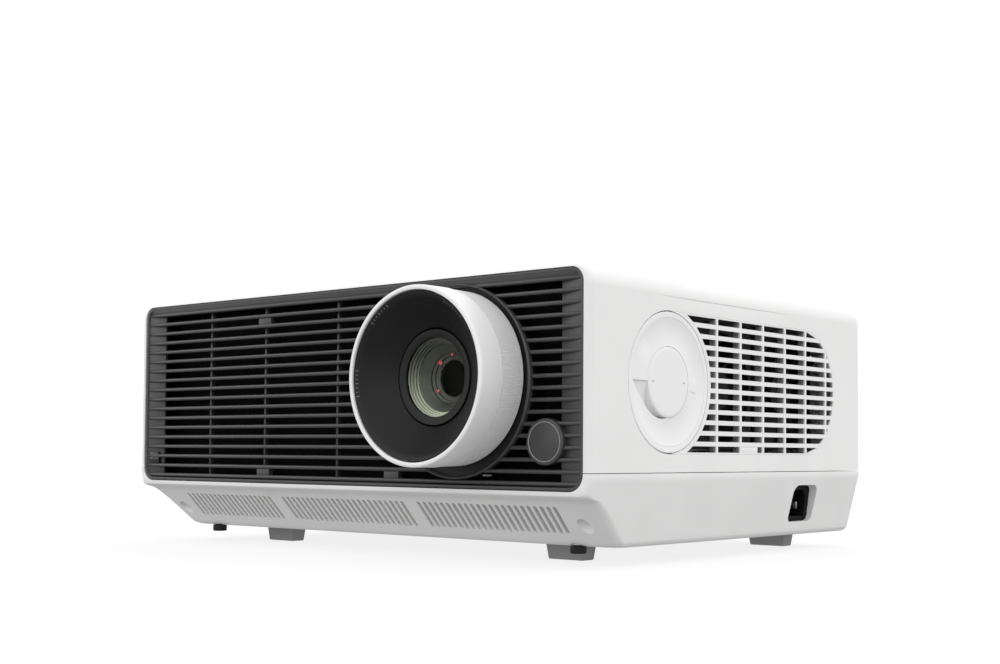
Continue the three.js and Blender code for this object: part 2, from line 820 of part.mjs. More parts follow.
for (const [side, sign] of [['left', -1], ['right', 1]]) {
  const { x, frontY, frontHead, frontTop, rearX, rearY, rearHead, rearTop } = CASE_SCREW;
  place(`case_screw_front_${side}`, caseScrew(sign * x, frontY, frontHead, frontTop), 'steel');
  place(`case_screw_rear_${side}`, caseScrew(sign * rearX, rearY, rearHead, rearTop), 'steel');
}

// ---- Lens ---------------------------------------------------------------------------------------

function lensPart(profile, sides = ROUND) {
  return turned('y', profile, LENS.x, LENS.z, sides);
}

const { barrelRadius, barrelInner, barrelRear, mouthRadius, ringRadius, frontY: lensFront } = LENS;

const focusRing = lensPart([
  [mouthRadius, lensFront],
  [ringRadius - 0.8, lensFront],
  [ringRadius, lensFront + 1],
  [ringRadius, LENS.focusRear],
  [barrelRadius + TURN_GAP, LENS.focusRear],
  [barrelRadius + TURN_GAP, LENS.focusRear - 3],
  [mouthRadius, LENS.focusRear - 3],
]);
place('focus_ring', focusRing, 'whitePlastic');

const zoomRing = lensPart([
  [barrelRadius + TURN_GAP, LENS.zoomFront],
  [ringRadius - 0.3, LENS.zoomFront],
  [ringRadius - 0.7, LENS.zoomRear],
  [barrelRadius + TURN_GAP, LENS.zoomRear],
]);
place('zoom_ring', zoomRing, 'whitePlastic');

const hood = lensPart([
  [mouthRadius - TURN_GAP, lensFront + 0.5],
  [LENS.coneRearRadius, LENS.coneRearY],
  [LENS.coneRearRadius, LENS.coneRearY + 1.5],
  [barrelInner, LENS.coneRearY - 7.6],
  [barrelInner, -148.3],
  [barrelRadius - 0.1, -148.3],
  [barrelRadius - 0.1, LENS.coneRearY - 10],
  [mouthRadius - TURN_GAP, lensFront + 2.5],
]);
place('lens_hood', hood, 'blackPlastic');

const barrel = lensPart([
  [barrelInner, -148],
  [barrelRadius, -148],
  [barrelRadius, barrelRear - 4],
  [48, barrelRear - 4],
  [48, barrelRear],
  [barrelInner, barrelRear],
]);
place('lens_barrel', barrel, 'aluminium');

const focusCell = lensPart([
  [21.8, -139],
  [25.6, -144],
  [25.6, -128],
  [barrelInner - GAP, -128],
  [barrelInner - GAP, -118],
  [21.8, -118],
]);
place('focus_cell', focusCell, 'blackPlastic');

const retainer = lensPart([
  [20.6, -143],
  [25.2, -145.2],
  [25.2, -144.4],
  [21.4, -139.4],
  [20.6, -139.4],
]);
place('lens_retainer', retainer, 'blackPlastic');

const frontLens = lensPart([
  [0, -141.6],
  [8, -141.2],
  [15, -140.2],
  [20.4, -138.6],
  [21.5, -138.4],
  [21.5, -126],
  [0, -129],
]);
place('front_lens', frontLens, 'opticalGlass');

const zoomCell = lensPart([
  [24, -104],
  [barrelInner - GAP, -104],
  [barrelInner - GAP, -84],
  [24, -84],
]);
place('zoom_cell', zoomCell, 'blackPlastic');

const zoomLens = lensPart([
  [0, -101],
  [12, -100],
  [23.7, -96.5],
  [23.7, -91],
  [0, -88],
]);
place('zoom_lens', zoomLens, 'opticalGlass');

// ---- Lens shift mechanism -----------------------------------------------------------------------

// A flat plate across the lens axis with a round hole for the barrel.
function shiftPlate(x0, x1, z0, z1, front, rear, bore) {
  const hole = rod('y', bore, front - 5, rear + 5, LENS.x, LENS.z, ROUND);
  return prism(roundedRectangle(x0, x1, z0, z1, 4), 'y', front, rear).subtract(hole);
}

const fixedPlate = shiftPlate(34, 152, CASE.bottom + WALL + GAP, 149, -74, -70, 47)
  .add(block(34, 60, -70.5, -56, CASE.bottom + WALL + GAP, 16))
  .add(block(128, 152, -70.5, -56, CASE.bottom + WALL + GAP, 16));
place('lens_mount_frame', fixedPlate, 'magnesium');
place('vertical_shift_plate', shiftPlate(42, 146, 50, 146, -69.6, -66.6, 44), 'steel');
place('horizontal_shift_plate', shiftPlate(44, 144, 52, 145, -66.2, -60.4, barrelRadius + GAP), 'magnesium');

// ---- Light engine -------------------------------------------------------------------------------

const engineThroat = rod('y', 30, -52, -40, LENS.x, LENS.z, ROUND);
const opticalEngine = block(52, 136, -42, 12, 50, 126)
  .add(engineThroat)
  .add(block(56, 70, -36, 4, CASE.bottom + WALL + GAP, 51))
  .add(block(118, 132, -36, 4, CASE.bottom + WALL + GAP, 51));
place('optical_engine', opticalEngine, 'magnesium');

const laserModule = block(-22, 51.5, -34, 12, 58, 112)
  .add(block(-10, 10, -30, 6, CASE.bottom + WALL + GAP, 59));
place('laser_module', laserModule, 'aluminium');

const phosphorWheel = rod('x', 25, -31, -29.6, -11, 85, ROUND);
place('phosphor_wheel', phosphorWheel, 'phosphor');
place('wheel_motor', rod('x', 9, -46, -31.3, -11, 85).add(block(-46, -40, -20, -2, 13, 80)), 'steel');

function heatSink() {
  const base = block(60, 144, 20, 26, 46, 138);
  const fins = Array.from({ length: 13 }, (_, i) => {
    const z = 46 + i * 7.5;
    return block(60, 144, 25, 120, z, z + 2);
  });
  return join([base, ...fins]);
}
place('heat_sink', heatSink(), 'aluminium');

// ---- Circuit boards and speakers ----------------------------------------------------------------

const mainBoard = block(-150, 40, boardRearFace - 1.6, boardRearFace, 52, 120)
  .add(block(-110, -82, boardRearFace - 12, boardRearFace - 1.5, 72, 100))
  .add(block(-40, -16, boardRearFace - 5, boardRearFace - 1.5, 62, 86));
place('main_board', mainBoard, 'circuitBoard');

const powerBoard = block(-150, -56, -74, 110, 17, 18.6)
  .add(block(-140, -104, -66, -30, 18, 52))
  .add(block(-96, -66, -64, -40, 18, 44))
  .add(block(-142, -112, 30, 70, 18, 50))
  .add(block(-96, -62, -20, 20, 18, 46))
  .add(rod('z', 11, 18, 55, -90, 70))
  .add(block(-150, -144, -74, -68, CASE.bottom + WALL + GAP, 17.5));
place('power_board', powerBoard, 'circuitBoard');

for (const [side, sign] of [['left', -1], ['right', 1]]) {
  const centre = sign * 154;
  const speaker = block(centre - 17, centre + 17, -110, -92, 42, 82).subtract(
    turned(
      'y',
      [
        [0, -112],
        [14, -112],
        [13, -108],
        [5, -102],
        [0, -102],
      ],
      centre,
      62,
      SMALL_ROUND,
    ),
  );
  place(`speaker_${side}`, speaker, 'blackPlastic');
}

// ---- Fans ---------------------------------------------------------------------------------------

// A square frame with a round bore, and a hub plate held by two arms at one end of the bore.
function fanFrame(x0, y, z) {
  const half = FAN.size / 2;
  const x1 = x0 + FAN.thickness;
  const square = block(x0, x1, y - half, y + half, z - half, z + half);
  const bore = rod('x', FAN.bore, x0 - 5, x1 + 5, y, z, ROUND);
  const arm = 1.6;
  const across = block(x0 + 0.1, x0 + 2.4, y - half + 1, y + half - 1, z - arm, z + arm);
  const hubPlate = rod('x', FAN.hub - 1, x0 + 0.1, x0 + 2.4, y, z);
  return square.subtract(bore).add(join([across, hubPlate]));
}

function fanRotor(x0, y, z) {
  const hubFront = x0 + FAN.thickness - 1.5;
  const hub = rod('x', FAN.hub, x0 + 3.4, hubFront, y, z);
  const blades = Array.from({ length: FAN.blades }, (_, i) => {
    const blade = new THREE.BoxGeometry(1.4, 17, FAN.bore - 1.5 - (FAN.hub - 2));
    blade.rotateZ(THREE.MathUtils.degToRad(52));
    blade.translate(0, 0, (FAN.bore - 1.5 + FAN.hub - 2) / 2);
    blade.rotateX((i / FAN.blades) * 2 * Math.PI);
    blade.translate(x0 + FAN.thickness / 2 + 0.6, y, z);
    return toSolid(blade);
  });
  return join([hub, ...blades]);
}

const FANS = [
  { name: 'exhaust_fan_front', x: 150, y: 18 },
  { name: 'exhaust_fan_rear', x: 150, y: 92 },
  { name: 'intake_fan', x: -174, y: -30 },
];
for (const { name, x, y } of FANS) {
  place(`${name}_frame`, fanFrame(x, y, SIDE.z), 'blackPlastic');
  place(`${name}_rotor`, fanRotor(x, y, SIDE.z), 'blackPlastic');
}

export default projector;
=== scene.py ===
import json
import math

import bmesh
import bpy
from mathutils import Matrix, Vector


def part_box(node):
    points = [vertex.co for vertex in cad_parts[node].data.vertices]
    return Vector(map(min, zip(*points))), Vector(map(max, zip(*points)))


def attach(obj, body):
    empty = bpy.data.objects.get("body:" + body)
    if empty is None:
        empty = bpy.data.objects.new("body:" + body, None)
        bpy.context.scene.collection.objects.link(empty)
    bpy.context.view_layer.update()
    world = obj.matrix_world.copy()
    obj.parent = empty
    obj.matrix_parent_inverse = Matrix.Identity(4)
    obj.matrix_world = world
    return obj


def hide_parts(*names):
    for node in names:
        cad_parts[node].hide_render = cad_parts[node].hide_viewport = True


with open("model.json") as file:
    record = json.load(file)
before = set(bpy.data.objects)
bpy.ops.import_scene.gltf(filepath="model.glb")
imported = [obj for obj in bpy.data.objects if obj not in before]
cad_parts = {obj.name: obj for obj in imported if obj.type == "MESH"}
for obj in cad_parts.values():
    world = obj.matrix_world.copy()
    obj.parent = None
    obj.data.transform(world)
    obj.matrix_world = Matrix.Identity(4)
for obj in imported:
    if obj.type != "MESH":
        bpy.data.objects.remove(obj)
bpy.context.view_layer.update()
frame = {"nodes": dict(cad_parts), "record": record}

# A white laser home projector. Lengths below are in millimetres in the model's own frame:
# +X to the right when facing the lens, the front towards -Y, +Z up, the table at z = 0.

MM = 0.001


def node_box(node):
    """Lowest and highest corner of a CAD node, in millimetres."""
    low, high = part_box(node)
    return low / MM, high / MM


def node_centre(node):
    low, high = node_box(node)
    return (low + high) / 2


# ---- Main dimensions ----

SHELL_LOW, SHELL_HIGH = node_box("top_cover")
TRAY_LOW, TRAY_HIGH = node_box("lower_housing")
LENS = node_centre("focus_ring")
DIAL = node_centre("dial_dish")
BADGE = node_centre("badge")

HALF_WIDTH = SHELL_HIGH.x
FRONT = SHELL_LOW.y
REAR = SHELL_HIGH.y
TOP = SHELL_HIGH.z
BOSS_PROUD = 0.8
BOTTOM = TRAY_LOW.z + BOSS_PROUD  # the ceiling bosses reach a little below the flat bottom
SEAM = (SHELL_LOW.z + TRAY_HIGH.z) / 2
SEAM_GAP = 0.36
WALL = 2.4
NOSE_EXTRA_WALL = 6.0  # the sloping nose is thicker, for its slots and hollows

TOP_RADIUS = 12.0
EDGE_RADIUS = 3.5
REAR_RADIUS = 2.0
TAPER_START = 46.0
TAPER_SLOPE = 0.255
BOTTOM_RADIUS = 3.8
REAR_BOTTOM_RADIUS = 2.0
NOSE_CORNER_RADIUS = 8.0

# The nose's outline from the lip under the grille to the flat bottom, as (height, y).
NOSE = [
    (38.6, -129.0), (37.4, -128.6), (36.6, -127.4), (35.9, -125.5), (35.2, -122.4), (33.9, -120.2),
    (32.3, -117.9), (14.3, -97.5), (12.6, -95.6), (11.4, -93.9), (10.6, -91.8), (10.15, -89.4),
    (10.0, -86.5),
]
NOSE_SLOPE_TOP = Vector((0, -117.9, 32.3))
NOSE_SLOPE_END = Vector((0, -97.5, 14.3))

FACE_HALF = 180.5
FACE_LOW = 39.6
FACE_HIGH = 152.6
FACE_TOP_RADIUS = 8.0
FACE_BOTTOM_RADIUS = 9.0

SIDE_Z = 97.0
SIDE_RADIUS = 38.1
SIDE_FRONT_Y = DIAL.y
SIDE_REAR_Y = 88.0


# ---- Shapes: each is (vertices, faces) in millimetres ----


def put(axis, u, v, along):
    """A point from an outline's (u, v) and its place along the axis."""
    return {"x": (along, u, v), "y": (u, along, v), "z": (u, v, along)}[axis]


def arc(u, v, radius, start, end, steps):
    """Points on an arc, angles in degrees."""
    angles = [math.radians(start + (end - start) * i / steps) for i in range(steps + 1)]
    return [(u + radius * math.cos(a), v + radius * math.sin(a)) for a in angles]


def circle(u, v, radius, steps):
    return arc(u, v, radius, 0, 360, steps)[:-1]


def rounded_rectangle(u0, u1, v0, v1, lower, upper=None, steps=8):
    upper = lower if upper is None else upper
    return (
        arc(u0 + lower, v0 + lower, lower, 180, 270, steps)
        + arc(u1 - lower, v0 + lower, lower, 270, 360, steps)
        + arc(u1 - upper, v1 - upper, upper, 0, 90, steps)
        + arc(u0 + upper, v1 - upper, upper, 90, 180, steps)
    )


def stadium(radius):
    """The round-ended outline of the long side openings."""
    rear_end = arc(SIDE_REAR_Y, SIDE_Z, radius, -90, 90, 40)
    return rear_end + arc(SIDE_FRONT_Y, SIDE_Z, radius, 90, 270, 40)


def loft(loops, closed=False):
    """A skin through loops of the same number of points, capped unless it closes on itself."""
    count = len(loops[0])
    vertices = [point for loop in loops for point in loop]
    faces = []
    rings = len(loops) if closed else len(loops) - 1
    for ring in range(rings):
        a = ring * count
        b = ((ring + 1) % len(loops)) * count
        for i in range(count):
            j = (i + 1) % count
            faces.append((a + i, a + j, b + j, b + i))
    if not closed:
        faces.append(tuple(reversed(range(count))))
        last = (len(loops) - 1) * count
        faces.append(tuple(last + i for i in range(count)))
    return vertices, faces


def prism(outline, axis, start, end):
    return loft([[put(axis, u, v, along) for u, v in outline] for along in (start, end)])


def block(x0, x1, y0, y1, z0, z1):
    return prism([(x0, y0), (x1, y0), (x1, y1), (x0, y1)], "z", z0, z1)


def turned(profile, axis, u, v, steps):
    """A closed (radius, along) profile turned about an axis; a point on the axis stays one point."""
    vertices = []
    rings = []
    for radius, along in profile:
        if radius < 1e-6:
            rings.append([len(vertices)])
            vertices.append(put(axis, u, v, along))
            continue
        rings.append(list(range(len(vertices), len(vertices) + steps)))
        vertices += [put(axis, cu, cv, along) for cu, cv in circle(u, v, radius, steps)]
    faces = []
    for first, second in zip(rings, rings[1:] + rings[:1]):
        if len(first) == 1 and len(second) == 1:
            continue
        for i in range(steps):
            j = (i + 1) % steps
            corners = [first[i % len(first)], first[j % len(first)]]
            corners += [second[j % len(second)], second[i % len(second)]]
            unique = list(dict.fromkeys(corners))
            faces.append(tuple(unique))
    return vertices, faces


def shifted(base, profile):
    """A (radius, along) profile whose places along the axis are measured from a base."""
    return [(radius, base + along) for radius, along in profile]


def joined(shapes):
    vertices, faces = [], []
    for shape_vertices, shape_faces in shapes:
        start = len(vertices)
        vertices += shape_vertices
        faces += [tuple(start + i for i in face) for face in shape_faces]
    return vertices, faces


def moved(shape, matrix):
    vertices, faces = shape
    return [tuple(matrix @ Vector(point)) for point in vertices], faces


# ---- Objects ----


def raw_object(name, shape):
    vertices, faces = shape
    mesh = bpy.data.meshes.new(name)
    mesh.from_pydata([Vector(point) * MM for point in vertices], [], faces)
    obj = bpy.data.objects.new(name, mesh)
    bpy.context.scene.collection.objects.link(obj)
    work = bmesh.new()
    work.from_mesh(mesh)
    bmesh.ops.recalc_face_normals(work, faces=work.faces)
    work.to_mesh(mesh)
    work.free()
    return obj


def bake(obj):
    """Applies an object's modifiers to its mesh."""
    graph = bpy.context.evaluated_depsgraph_get()
    mesh = bpy.data.meshes.new_from_object(obj.evaluated_get(graph))
    obj.modifiers.clear()
    old = obj.data
    obj.data = mesh
    bpy.data.meshes.remove(old)


def cut(obj, shapes, keep=False):
    """Cuts shapes out of an object, or keeps only what is inside them."""
    for shape in shapes:
        cutter = raw_object("cutter", shape)
        step = obj.modifiers.new("cut", "BOOLEAN")
        step.operation = "INTERSECT" if keep else "DIFFERENCE"
        step.solver = "EXACT"
        step.object = cutter
        bake(obj)
        data = cutter.data
        bpy.data.objects.remove(cutter)
        bpy.data.meshes.remove(data)


def soften(obj, width, segments=2):
    """Rounds the sharp edges."""
    step = obj.modifiers.new("soften", "BEVEL")
    step.width = width * MM
    step.segments = segments
    step.limit_method = "ANGLE"
    step.angle_limit = math.radians(40)
    step.harden_normals = False
    step.use_clamp_overlap = True
    bake(obj)


def even_shading(obj):
    """Keeps the big flat faces flat where they meet their rounded edges."""
    step = obj.modifiers.new("even", "WEIGHTED_NORMAL")
    step.keep_sharp = True
    step.weight = 100
    bake(obj)


drawn_nodes = set()  # the CAD nodes that pieces stand for


def finish_piece(obj, material, body="casing", stands_for=(), smooth=35):
    """Shading, material and the body that the piece moves with."""
    obj.data.shade_smooth()
    obj.data.set_sharp_from_angle(angle=math.radians(smooth))
    obj.data.materials.clear()
    obj.data.materials.append(material)
    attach(obj, body)
    if stands_for:
        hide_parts(*stands_for)
        drawn_nodes.update(stands_for)


def piece(name, shape, material, body="casing", stands_for=(), soft=0, smooth=35):
    obj = raw_object(name, shape)
    if soft:
        soften(obj, soft)
    finish_piece(obj, material, body, stands_for, smooth)


# ---- Materials ----


def start_material(name):
    material = bpy.data.materials.new(name)
    material.use_nodes = True
    nodes = material.node_tree.nodes
    return material, nodes, material.node_tree.links, nodes["Principled BSDF"]


def noise(nodes, links, scale, detail, stretch=None):
    """Noise in the piece's own space; scale is in features per metre."""
    place = nodes.new("ShaderNodeTexCoord")
    texture = nodes.new("ShaderNodeTexNoise")
    texture.inputs["Scale"].default_value = scale
    texture.inputs["Detail"].default_value = detail
    source = place.outputs["Object"]
    if stretch:
        mapping = nodes.new("ShaderNodeMapping")
        mapping.inputs["Scale"].default_value = stretch
        links.new(source, mapping.inputs["Vector"])
        source = mapping.outputs["Vector"]
    links.new(source, texture.inputs["Vector"])
    return texture.outputs["Fac"]


def ramp(nodes, links, source, low, high, at=(0.35, 0.65)):
    """Turns a value into a colour between two colours."""
    scale = nodes.new("ShaderNodeValToRGB")
    first, last = scale.color_ramp.elements
    first.position, last.position = at
    first.color = (*low, 1)
    last.color = (*high, 1)
    links.new(source, scale.inputs["Fac"])
    return scale.outputs["Color"]


def spread(nodes, links, source, low, high, start=0.0, end=1.0):
    """Maps a value between start and end onto a range."""
    step = nodes.new("ShaderNodeMapRange")
    for socket, value in (("From Min", start), ("From Max", end), ("To Min", low), ("To Max", high)):
        step.inputs[socket].default_value = value
    links.new(source, step.inputs["Value"])
    return step.outputs["Result"]


def height_in(nodes, links, space):
    """The height part of a texture coordinate."""
    place = nodes.new("ShaderNodeTexCoord")
    split = nodes.new("ShaderNodeSeparateXYZ")
    links.new(place.outputs[space], split.inputs["Vector"])
    return split.outputs["Z"]


def bump(nodes, links, source, strength, distance, shader):
    step = nodes.new("ShaderNodeBump")
    step.inputs["Strength"].default_value = strength
    step.inputs["Distance"].default_value = distance
    links.new(source, step.inputs["Height"])
    links.new(step.outputs["Normal"], shader.inputs["Normal"])


def moulded(name, low, high, roughness=(0.38, 0.48), grain=2600, depth=0.12, metallic=0.0, specular=0.5):
    """Moulded plastic, rubber or cast metal: a fine spark-eroded grain and slight mottling."""
    material, nodes, links, shader = start_material(name)
    broad = noise(nodes, links, 24, 2)
    links.new(ramp(nodes, links, broad, low, high), shader.inputs["Base Color"])
    fine = noise(nodes, links, grain, 2)
    links.new(spread(nodes, links, fine, *roughness), shader.inputs["Roughness"])
    bump(nodes, links, fine, depth, 0.00012, shader)
    shader.inputs["Metallic"].default_value = metallic
    shader.inputs["Specular IOR Level"].default_value = specular
    return material


def grey(value):
    return (value, value, value)


WHITE = moulded("white_plastic", (0.80, 0.80, 0.795), (0.825, 0.825, 0.82))
WHITE_FINE = moulded("white_fine_plastic", (0.82, 0.82, 0.82), (0.84, 0.84, 0.84), (0.3, 0.38), 4000, 0.06)
CHARCOAL = moulded("charcoal_plastic", grey(0.044), grey(0.052), (0.34, 0.42), 3200, 0.1, specular=0.5)
HOOD_BLACK = moulded("hood_black", grey(0.012), grey(0.016), (0.46, 0.54), 3600, 0.1, specular=0.25)
BLACK = moulded("black_plastic", grey(0.006), grey(0.01), (0.45, 0.6), 2400, 0.15, specular=0.3)
GREY_RUBBER = moulded("grey_rubber", grey(0.24), grey(0.28), (0.65, 0.8), 2000, 0.3, specular=0.3)
CAST = moulded("cast_magnesium", grey(0.3), grey(0.36), (0.5, 0.65), 1800, 0.4, metallic=0.8)
BOARD = moulded("solder_mask", (0.01, 0.09, 0.03), (0.015, 0.13, 0.045), (0.35, 0.5), 900, 0.3)
PHOSPHOR = moulded("phosphor_coat", (0.7, 0.58, 0.06), (0.76, 0.66, 0.1), (0.6, 0.7), 5000, 0.2)
RING_GREY = moulded("grey_ring", grey(0.13), grey(0.16), (0.3, 0.4), 3000, 0.05)
BADGE_GREY = moulded("badge_grey", grey(0.3), grey(0.36), (0.3, 0.4), 3000, 0.05)
PRINT = moulded("grey_print", grey(0.2), grey(0.26), (0.5, 0.6), 3000, 0.05)
SOCKET_BLACK = moulded("socket_black", grey(0.002), grey(0.004), (0.5, 0.6), 2400, 0.1, specular=0.12)
# Painted shade: the vent ribs are white plastic, given this grey to stand for the shade deep between the
# bars.
SHADED_RIB_GREY = moulded("vent_rib_painted_shade", grey(0.24), grey(0.28), (0.5, 0.6), 2400, 0.1, specular=0.3)
# The dust mesh's own black, also used as painted shade on the throat liner and the aperture disc.
BLACK_MESH_AND_SHADE = moulded("dust_mesh_and_shade_black", grey(0.006), grey(0.009), (0.8, 0.9), 1500, 0.3, specular=0.05)


def brushed(name, low, high, stretch):
    material, nodes, links, shader = start_material(name)
    lines = noise(nodes, links, 300, 4, stretch)
    links.new(ramp(nodes, links, lines, low, high), shader.inputs["Base Color"])
    links.new(spread(nodes, links, lines, 0.24, 0.4), shader.inputs["Roughness"])
    bump(nodes, links, lines, 0.1, 0.0001, shader)
    shader.inputs["Metallic"].default_value = 1.0
    return material


ALUMINIUM = brushed("brushed_aluminium", grey(0.5), grey(0.62), (1, 14, 1))
STEEL = brushed("brushed_steel", grey(0.36), grey(0.48), (14, 1, 1))


def hazed(name, scale, detail, low, high):
    """A smooth material whose colour drifts slowly between two shades."""
    material, nodes, links, shader = start_material(name)
    haze = noise(nodes, links, scale, detail)
    colour = ramp(nodes, links, haze, low, high)
    links.new(colour, shader.inputs["Base Color"])
    return material, nodes, links, shader, haze, colour


def smooth_material(name, scale, low, high, roughness):
    """A hazed material whose roughness drifts between two values as well."""
    material, nodes, links, shader, haze, _ = hazed(name, scale, 2, low, high)
    links.new(spread(nodes, links, haze, *roughness), shader.inputs["Roughness"])
    return material, shader


def glass_material():
    """Coated lens glass, almost clear."""
    low, high = (0.9, 0.93, 0.88), (0.96, 0.97, 0.93)
    material, shader = smooth_material("coated_glass", 60, low, high, (0.0, 0.02))
    shader.inputs["Transmission Weight"].default_value = 1.0
    shader.inputs["IOR"].default_value = 1.003  # the coating leaves almost no reflection
    return material


def glint_material():
    """A painted reflection: a faint red glint deep in the lens, glowing a little though no lamp is there.
    """
    low, high = (0.5, 0.05, 0.06), (0.7, 0.12, 0.12)
    material, _, links, shader, _, colour = hazed("painted_red_reflection", 900, 1, low, high)
    # Painted glow: the red gives off light of its own.
    links.new(colour, shader.inputs["Emission Color"])
    shader.inputs["Emission Strength"].default_value = 0.35
    shader.inputs["Roughness"].default_value = 0.3
    return material


GLASS = glass_material()
WINDOW = smooth_material(
    "infrared_window", 300, (0.005, 0.003, 0.004), (0.008, 0.004, 0.005), (0.06, 0.12)
)[0]
PAINTED_RED_GLINT = glint_material()
# Painted sheen: the funnel's olive grey stands in for the coated glass's olive reflection.
CORE = moulded("lens_core_painted_sheen", (0.065, 0.067, 0.057), (0.08, 0.082, 0.07), (0.3, 0.36), 200, 0.0)


def core_ring_material():
    """The stepped lens barrel, with painted light: its pale olive stands in for the coated glass's sheen,
    and painted shade makes it dark towards the top, as light from above would.
    """
    material, nodes, links, shader = start_material("lens_rings_painted_shade")
    low, high = ((LENS.z + offset) * MM for offset in (-16, 15))
    rise = spread(nodes, links, height_in(nodes, links, "Object"), 0, 1, low, high)
    # Painted shade: the colour runs from pale at the bottom to dark at the top by height alone.
    shade = ramp(nodes, links, rise, (0.55, 0.57, 0.47), (0.1, 0.104, 0.088), (0.1, 0.9))
    links.new(shade, shader.inputs["Base Color"])
    shader.inputs["Roughness"].default_value = 0.28
    return material


CORE_RINGS = core_ring_material()


# ---- Casing ----


def nose_y(z):
    """Where the front surface is at a height, following the nose's outline."""
    if z >= NOSE[0][0]:
        return FRONT
    for (z1, y1), (z2, y2) in zip(NOSE, NOSE[1:]):
        if z >= z2:
            return y1 + (y2 - y1) * (z1 - z) / (z1 - z2)
    return NOSE[-1][1]


def side_x(z):
    """Half width at a height: the sides lean in below the seam and are rounded top and bottom."""
    if z > TOP - TOP_RADIUS:
        rise = z - (TOP - TOP_RADIUS)
        return HALF_WIDTH - TOP_RADIUS + math.sqrt(max(TOP_RADIUS**2 - rise**2, 0))
    if z >= TAPER_START + 1.5:
        return HALF_WIDTH
    blend = TAPER_START + 1.5 - z
    lean = TAPER_SLOPE * (blend**2 / 6 if blend < 3 else blend - 1.5)
    x = HALF_WIDTH - lean
    if z < BOTTOM + BOTTOM_RADIUS:
        drop = BOTTOM + BOTTOM_RADIUS - z
        x -= BOTTOM_RADIUS - math.sqrt(max(BOTTOM_RADIUS**2 - drop**2, 0))
    return x


def edge_inset(z):
    """How far the front and rear outlines are rounded in near the top."""
    rise = z - (TOP - EDGE_RADIUS)
    if rise <= 0:
        return 0
    return EDGE_RADIUS - math.sqrt(max(EDGE_RADIUS**2 - rise**2, 0))


def rear_y(z):
    drop = BOTTOM + REAR_BOTTOM_RADIUS - z
    if drop <= 0:
        return REAR
    return REAR - REAR_BOTTOM_RADIUS + math.sqrt(max(REAR_BOTTOM_RADIUS**2 - drop**2, 0))


def front_corner(z):
    """The front corners get rounder down the nose."""
    share = min(max((40 - z) / 14, 0), 1)
    smooth = share * share * (3 - 2 * share)
    return EDGE_RADIUS + (NOSE_CORNER_RADIUS - EDGE_RADIUS) * smooth


def case_loop(z, inset=0.0):
    """The casing's outline at a height, moved in by an inset."""
    surface = min(max(z, BOTTOM), TOP)
    x = side_x(surface) - inset
    y0 = nose_y(surface) + edge_inset(surface) + inset
    y1 = rear_y(surface) - edge_inset(surface) - inset
    front = max(front_corner(surface) - inset, 0.8)
    rear = max(REAR_RADIUS - inset, 0.8)
    outline = rounded_rectangle(-x, x, y0, y1, front, rear, steps=10)
    return [(px, py, z) for px, py in outline]


def fillet_heights(base, radius, steps, upward=True):
    angles = [math.radians(90 * i / steps) for i in range(1, steps + 1)]
    sign = 1 if upward else -1
    return [base + sign * radius * math.sin(a) for a in angles]


def upper_shell():
    low = SEAM + SEAM_GAP / 2
    heights = {low, TOP - TOP_RADIUS, TOP - EDGE_RADIUS}
    heights.update(fillet_heights(TOP - TOP_RADIUS, TOP_RADIUS, 14))
    heights.update(fillet_heights(TOP - EDGE_RADIUS, EDGE_RADIUS, 7))
    outer = [case_loop(z) for z in sorted(heights)]
    inner_heights = [z - WALL for z in sorted(heights) if z - WALL > low + 1]
    inner = [[(x, y, z) for x, y, _ in case_loop(z + WALL, WALL)] for z in inner_heights]
    inner.insert(0, case_loop(low, WALL))
    return loft(list(reversed(inner)) + outer)


def lower_tray():
    high = SEAM - SEAM_GAP / 2
    heights = {high, TAPER_START + 1.5, TAPER_START + 0.5, TAPER_START - 0.5, TAPER_START - 1.5}
    heights.update(z for z, _ in NOSE)
    heights.update((44, 41, 27, 24.5, 22, 19.5, 17))
    heights.update(fillet_heights(BOTTOM + BOTTOM_RADIUS, BOTTOM_RADIUS, 6, upward=False))
    heights.update(fillet_heights(BOTTOM + REAR_BOTTOM_RADIUS, REAR_BOTTOM_RADIUS, 4, upward=False))
    ordered = sorted(heights, reverse=True)
    outer = [case_loop(z) for z in ordered]
    inner_heights = [z for z in ordered if z > BOTTOM + WALL + 0.5]
    inner = []
    for z in inner_heights:
        outline = case_loop(z, WALL)
        shift = NOSE_EXTRA_WALL if z < 36 else 0
        inner.append([(x, max(y, nose_y(z) + WALL + shift), z) for x, y, _ in outline])
    inner.append([(x, y, BOTTOM + WALL) for x, y, _ in inner[-1]])
    return loft(list(reversed(inner)) + outer)


def face_outline(inset):
    """The grille opening's outline, moved in by an inset."""
    x = FACE_HALF - inset
    lower, upper = FACE_BOTTOM_RADIUS - inset, FACE_TOP_RADIUS - inset
    return rounded_rectangle(-x, x, FACE_LOW + inset, FACE_HIGH - inset, lower, upper, steps=12)


FACE_CUT = prism(face_outline(0), "y", FRONT - 6, FRONT + 11)
RECEIVER_AT = node_centre("rear_ir_receiver")
KEY_AT = node_centre("control_key")
PANEL_LOW, PANEL_HIGH = node_box("rear_panel")
PANEL_GAP = 0.3


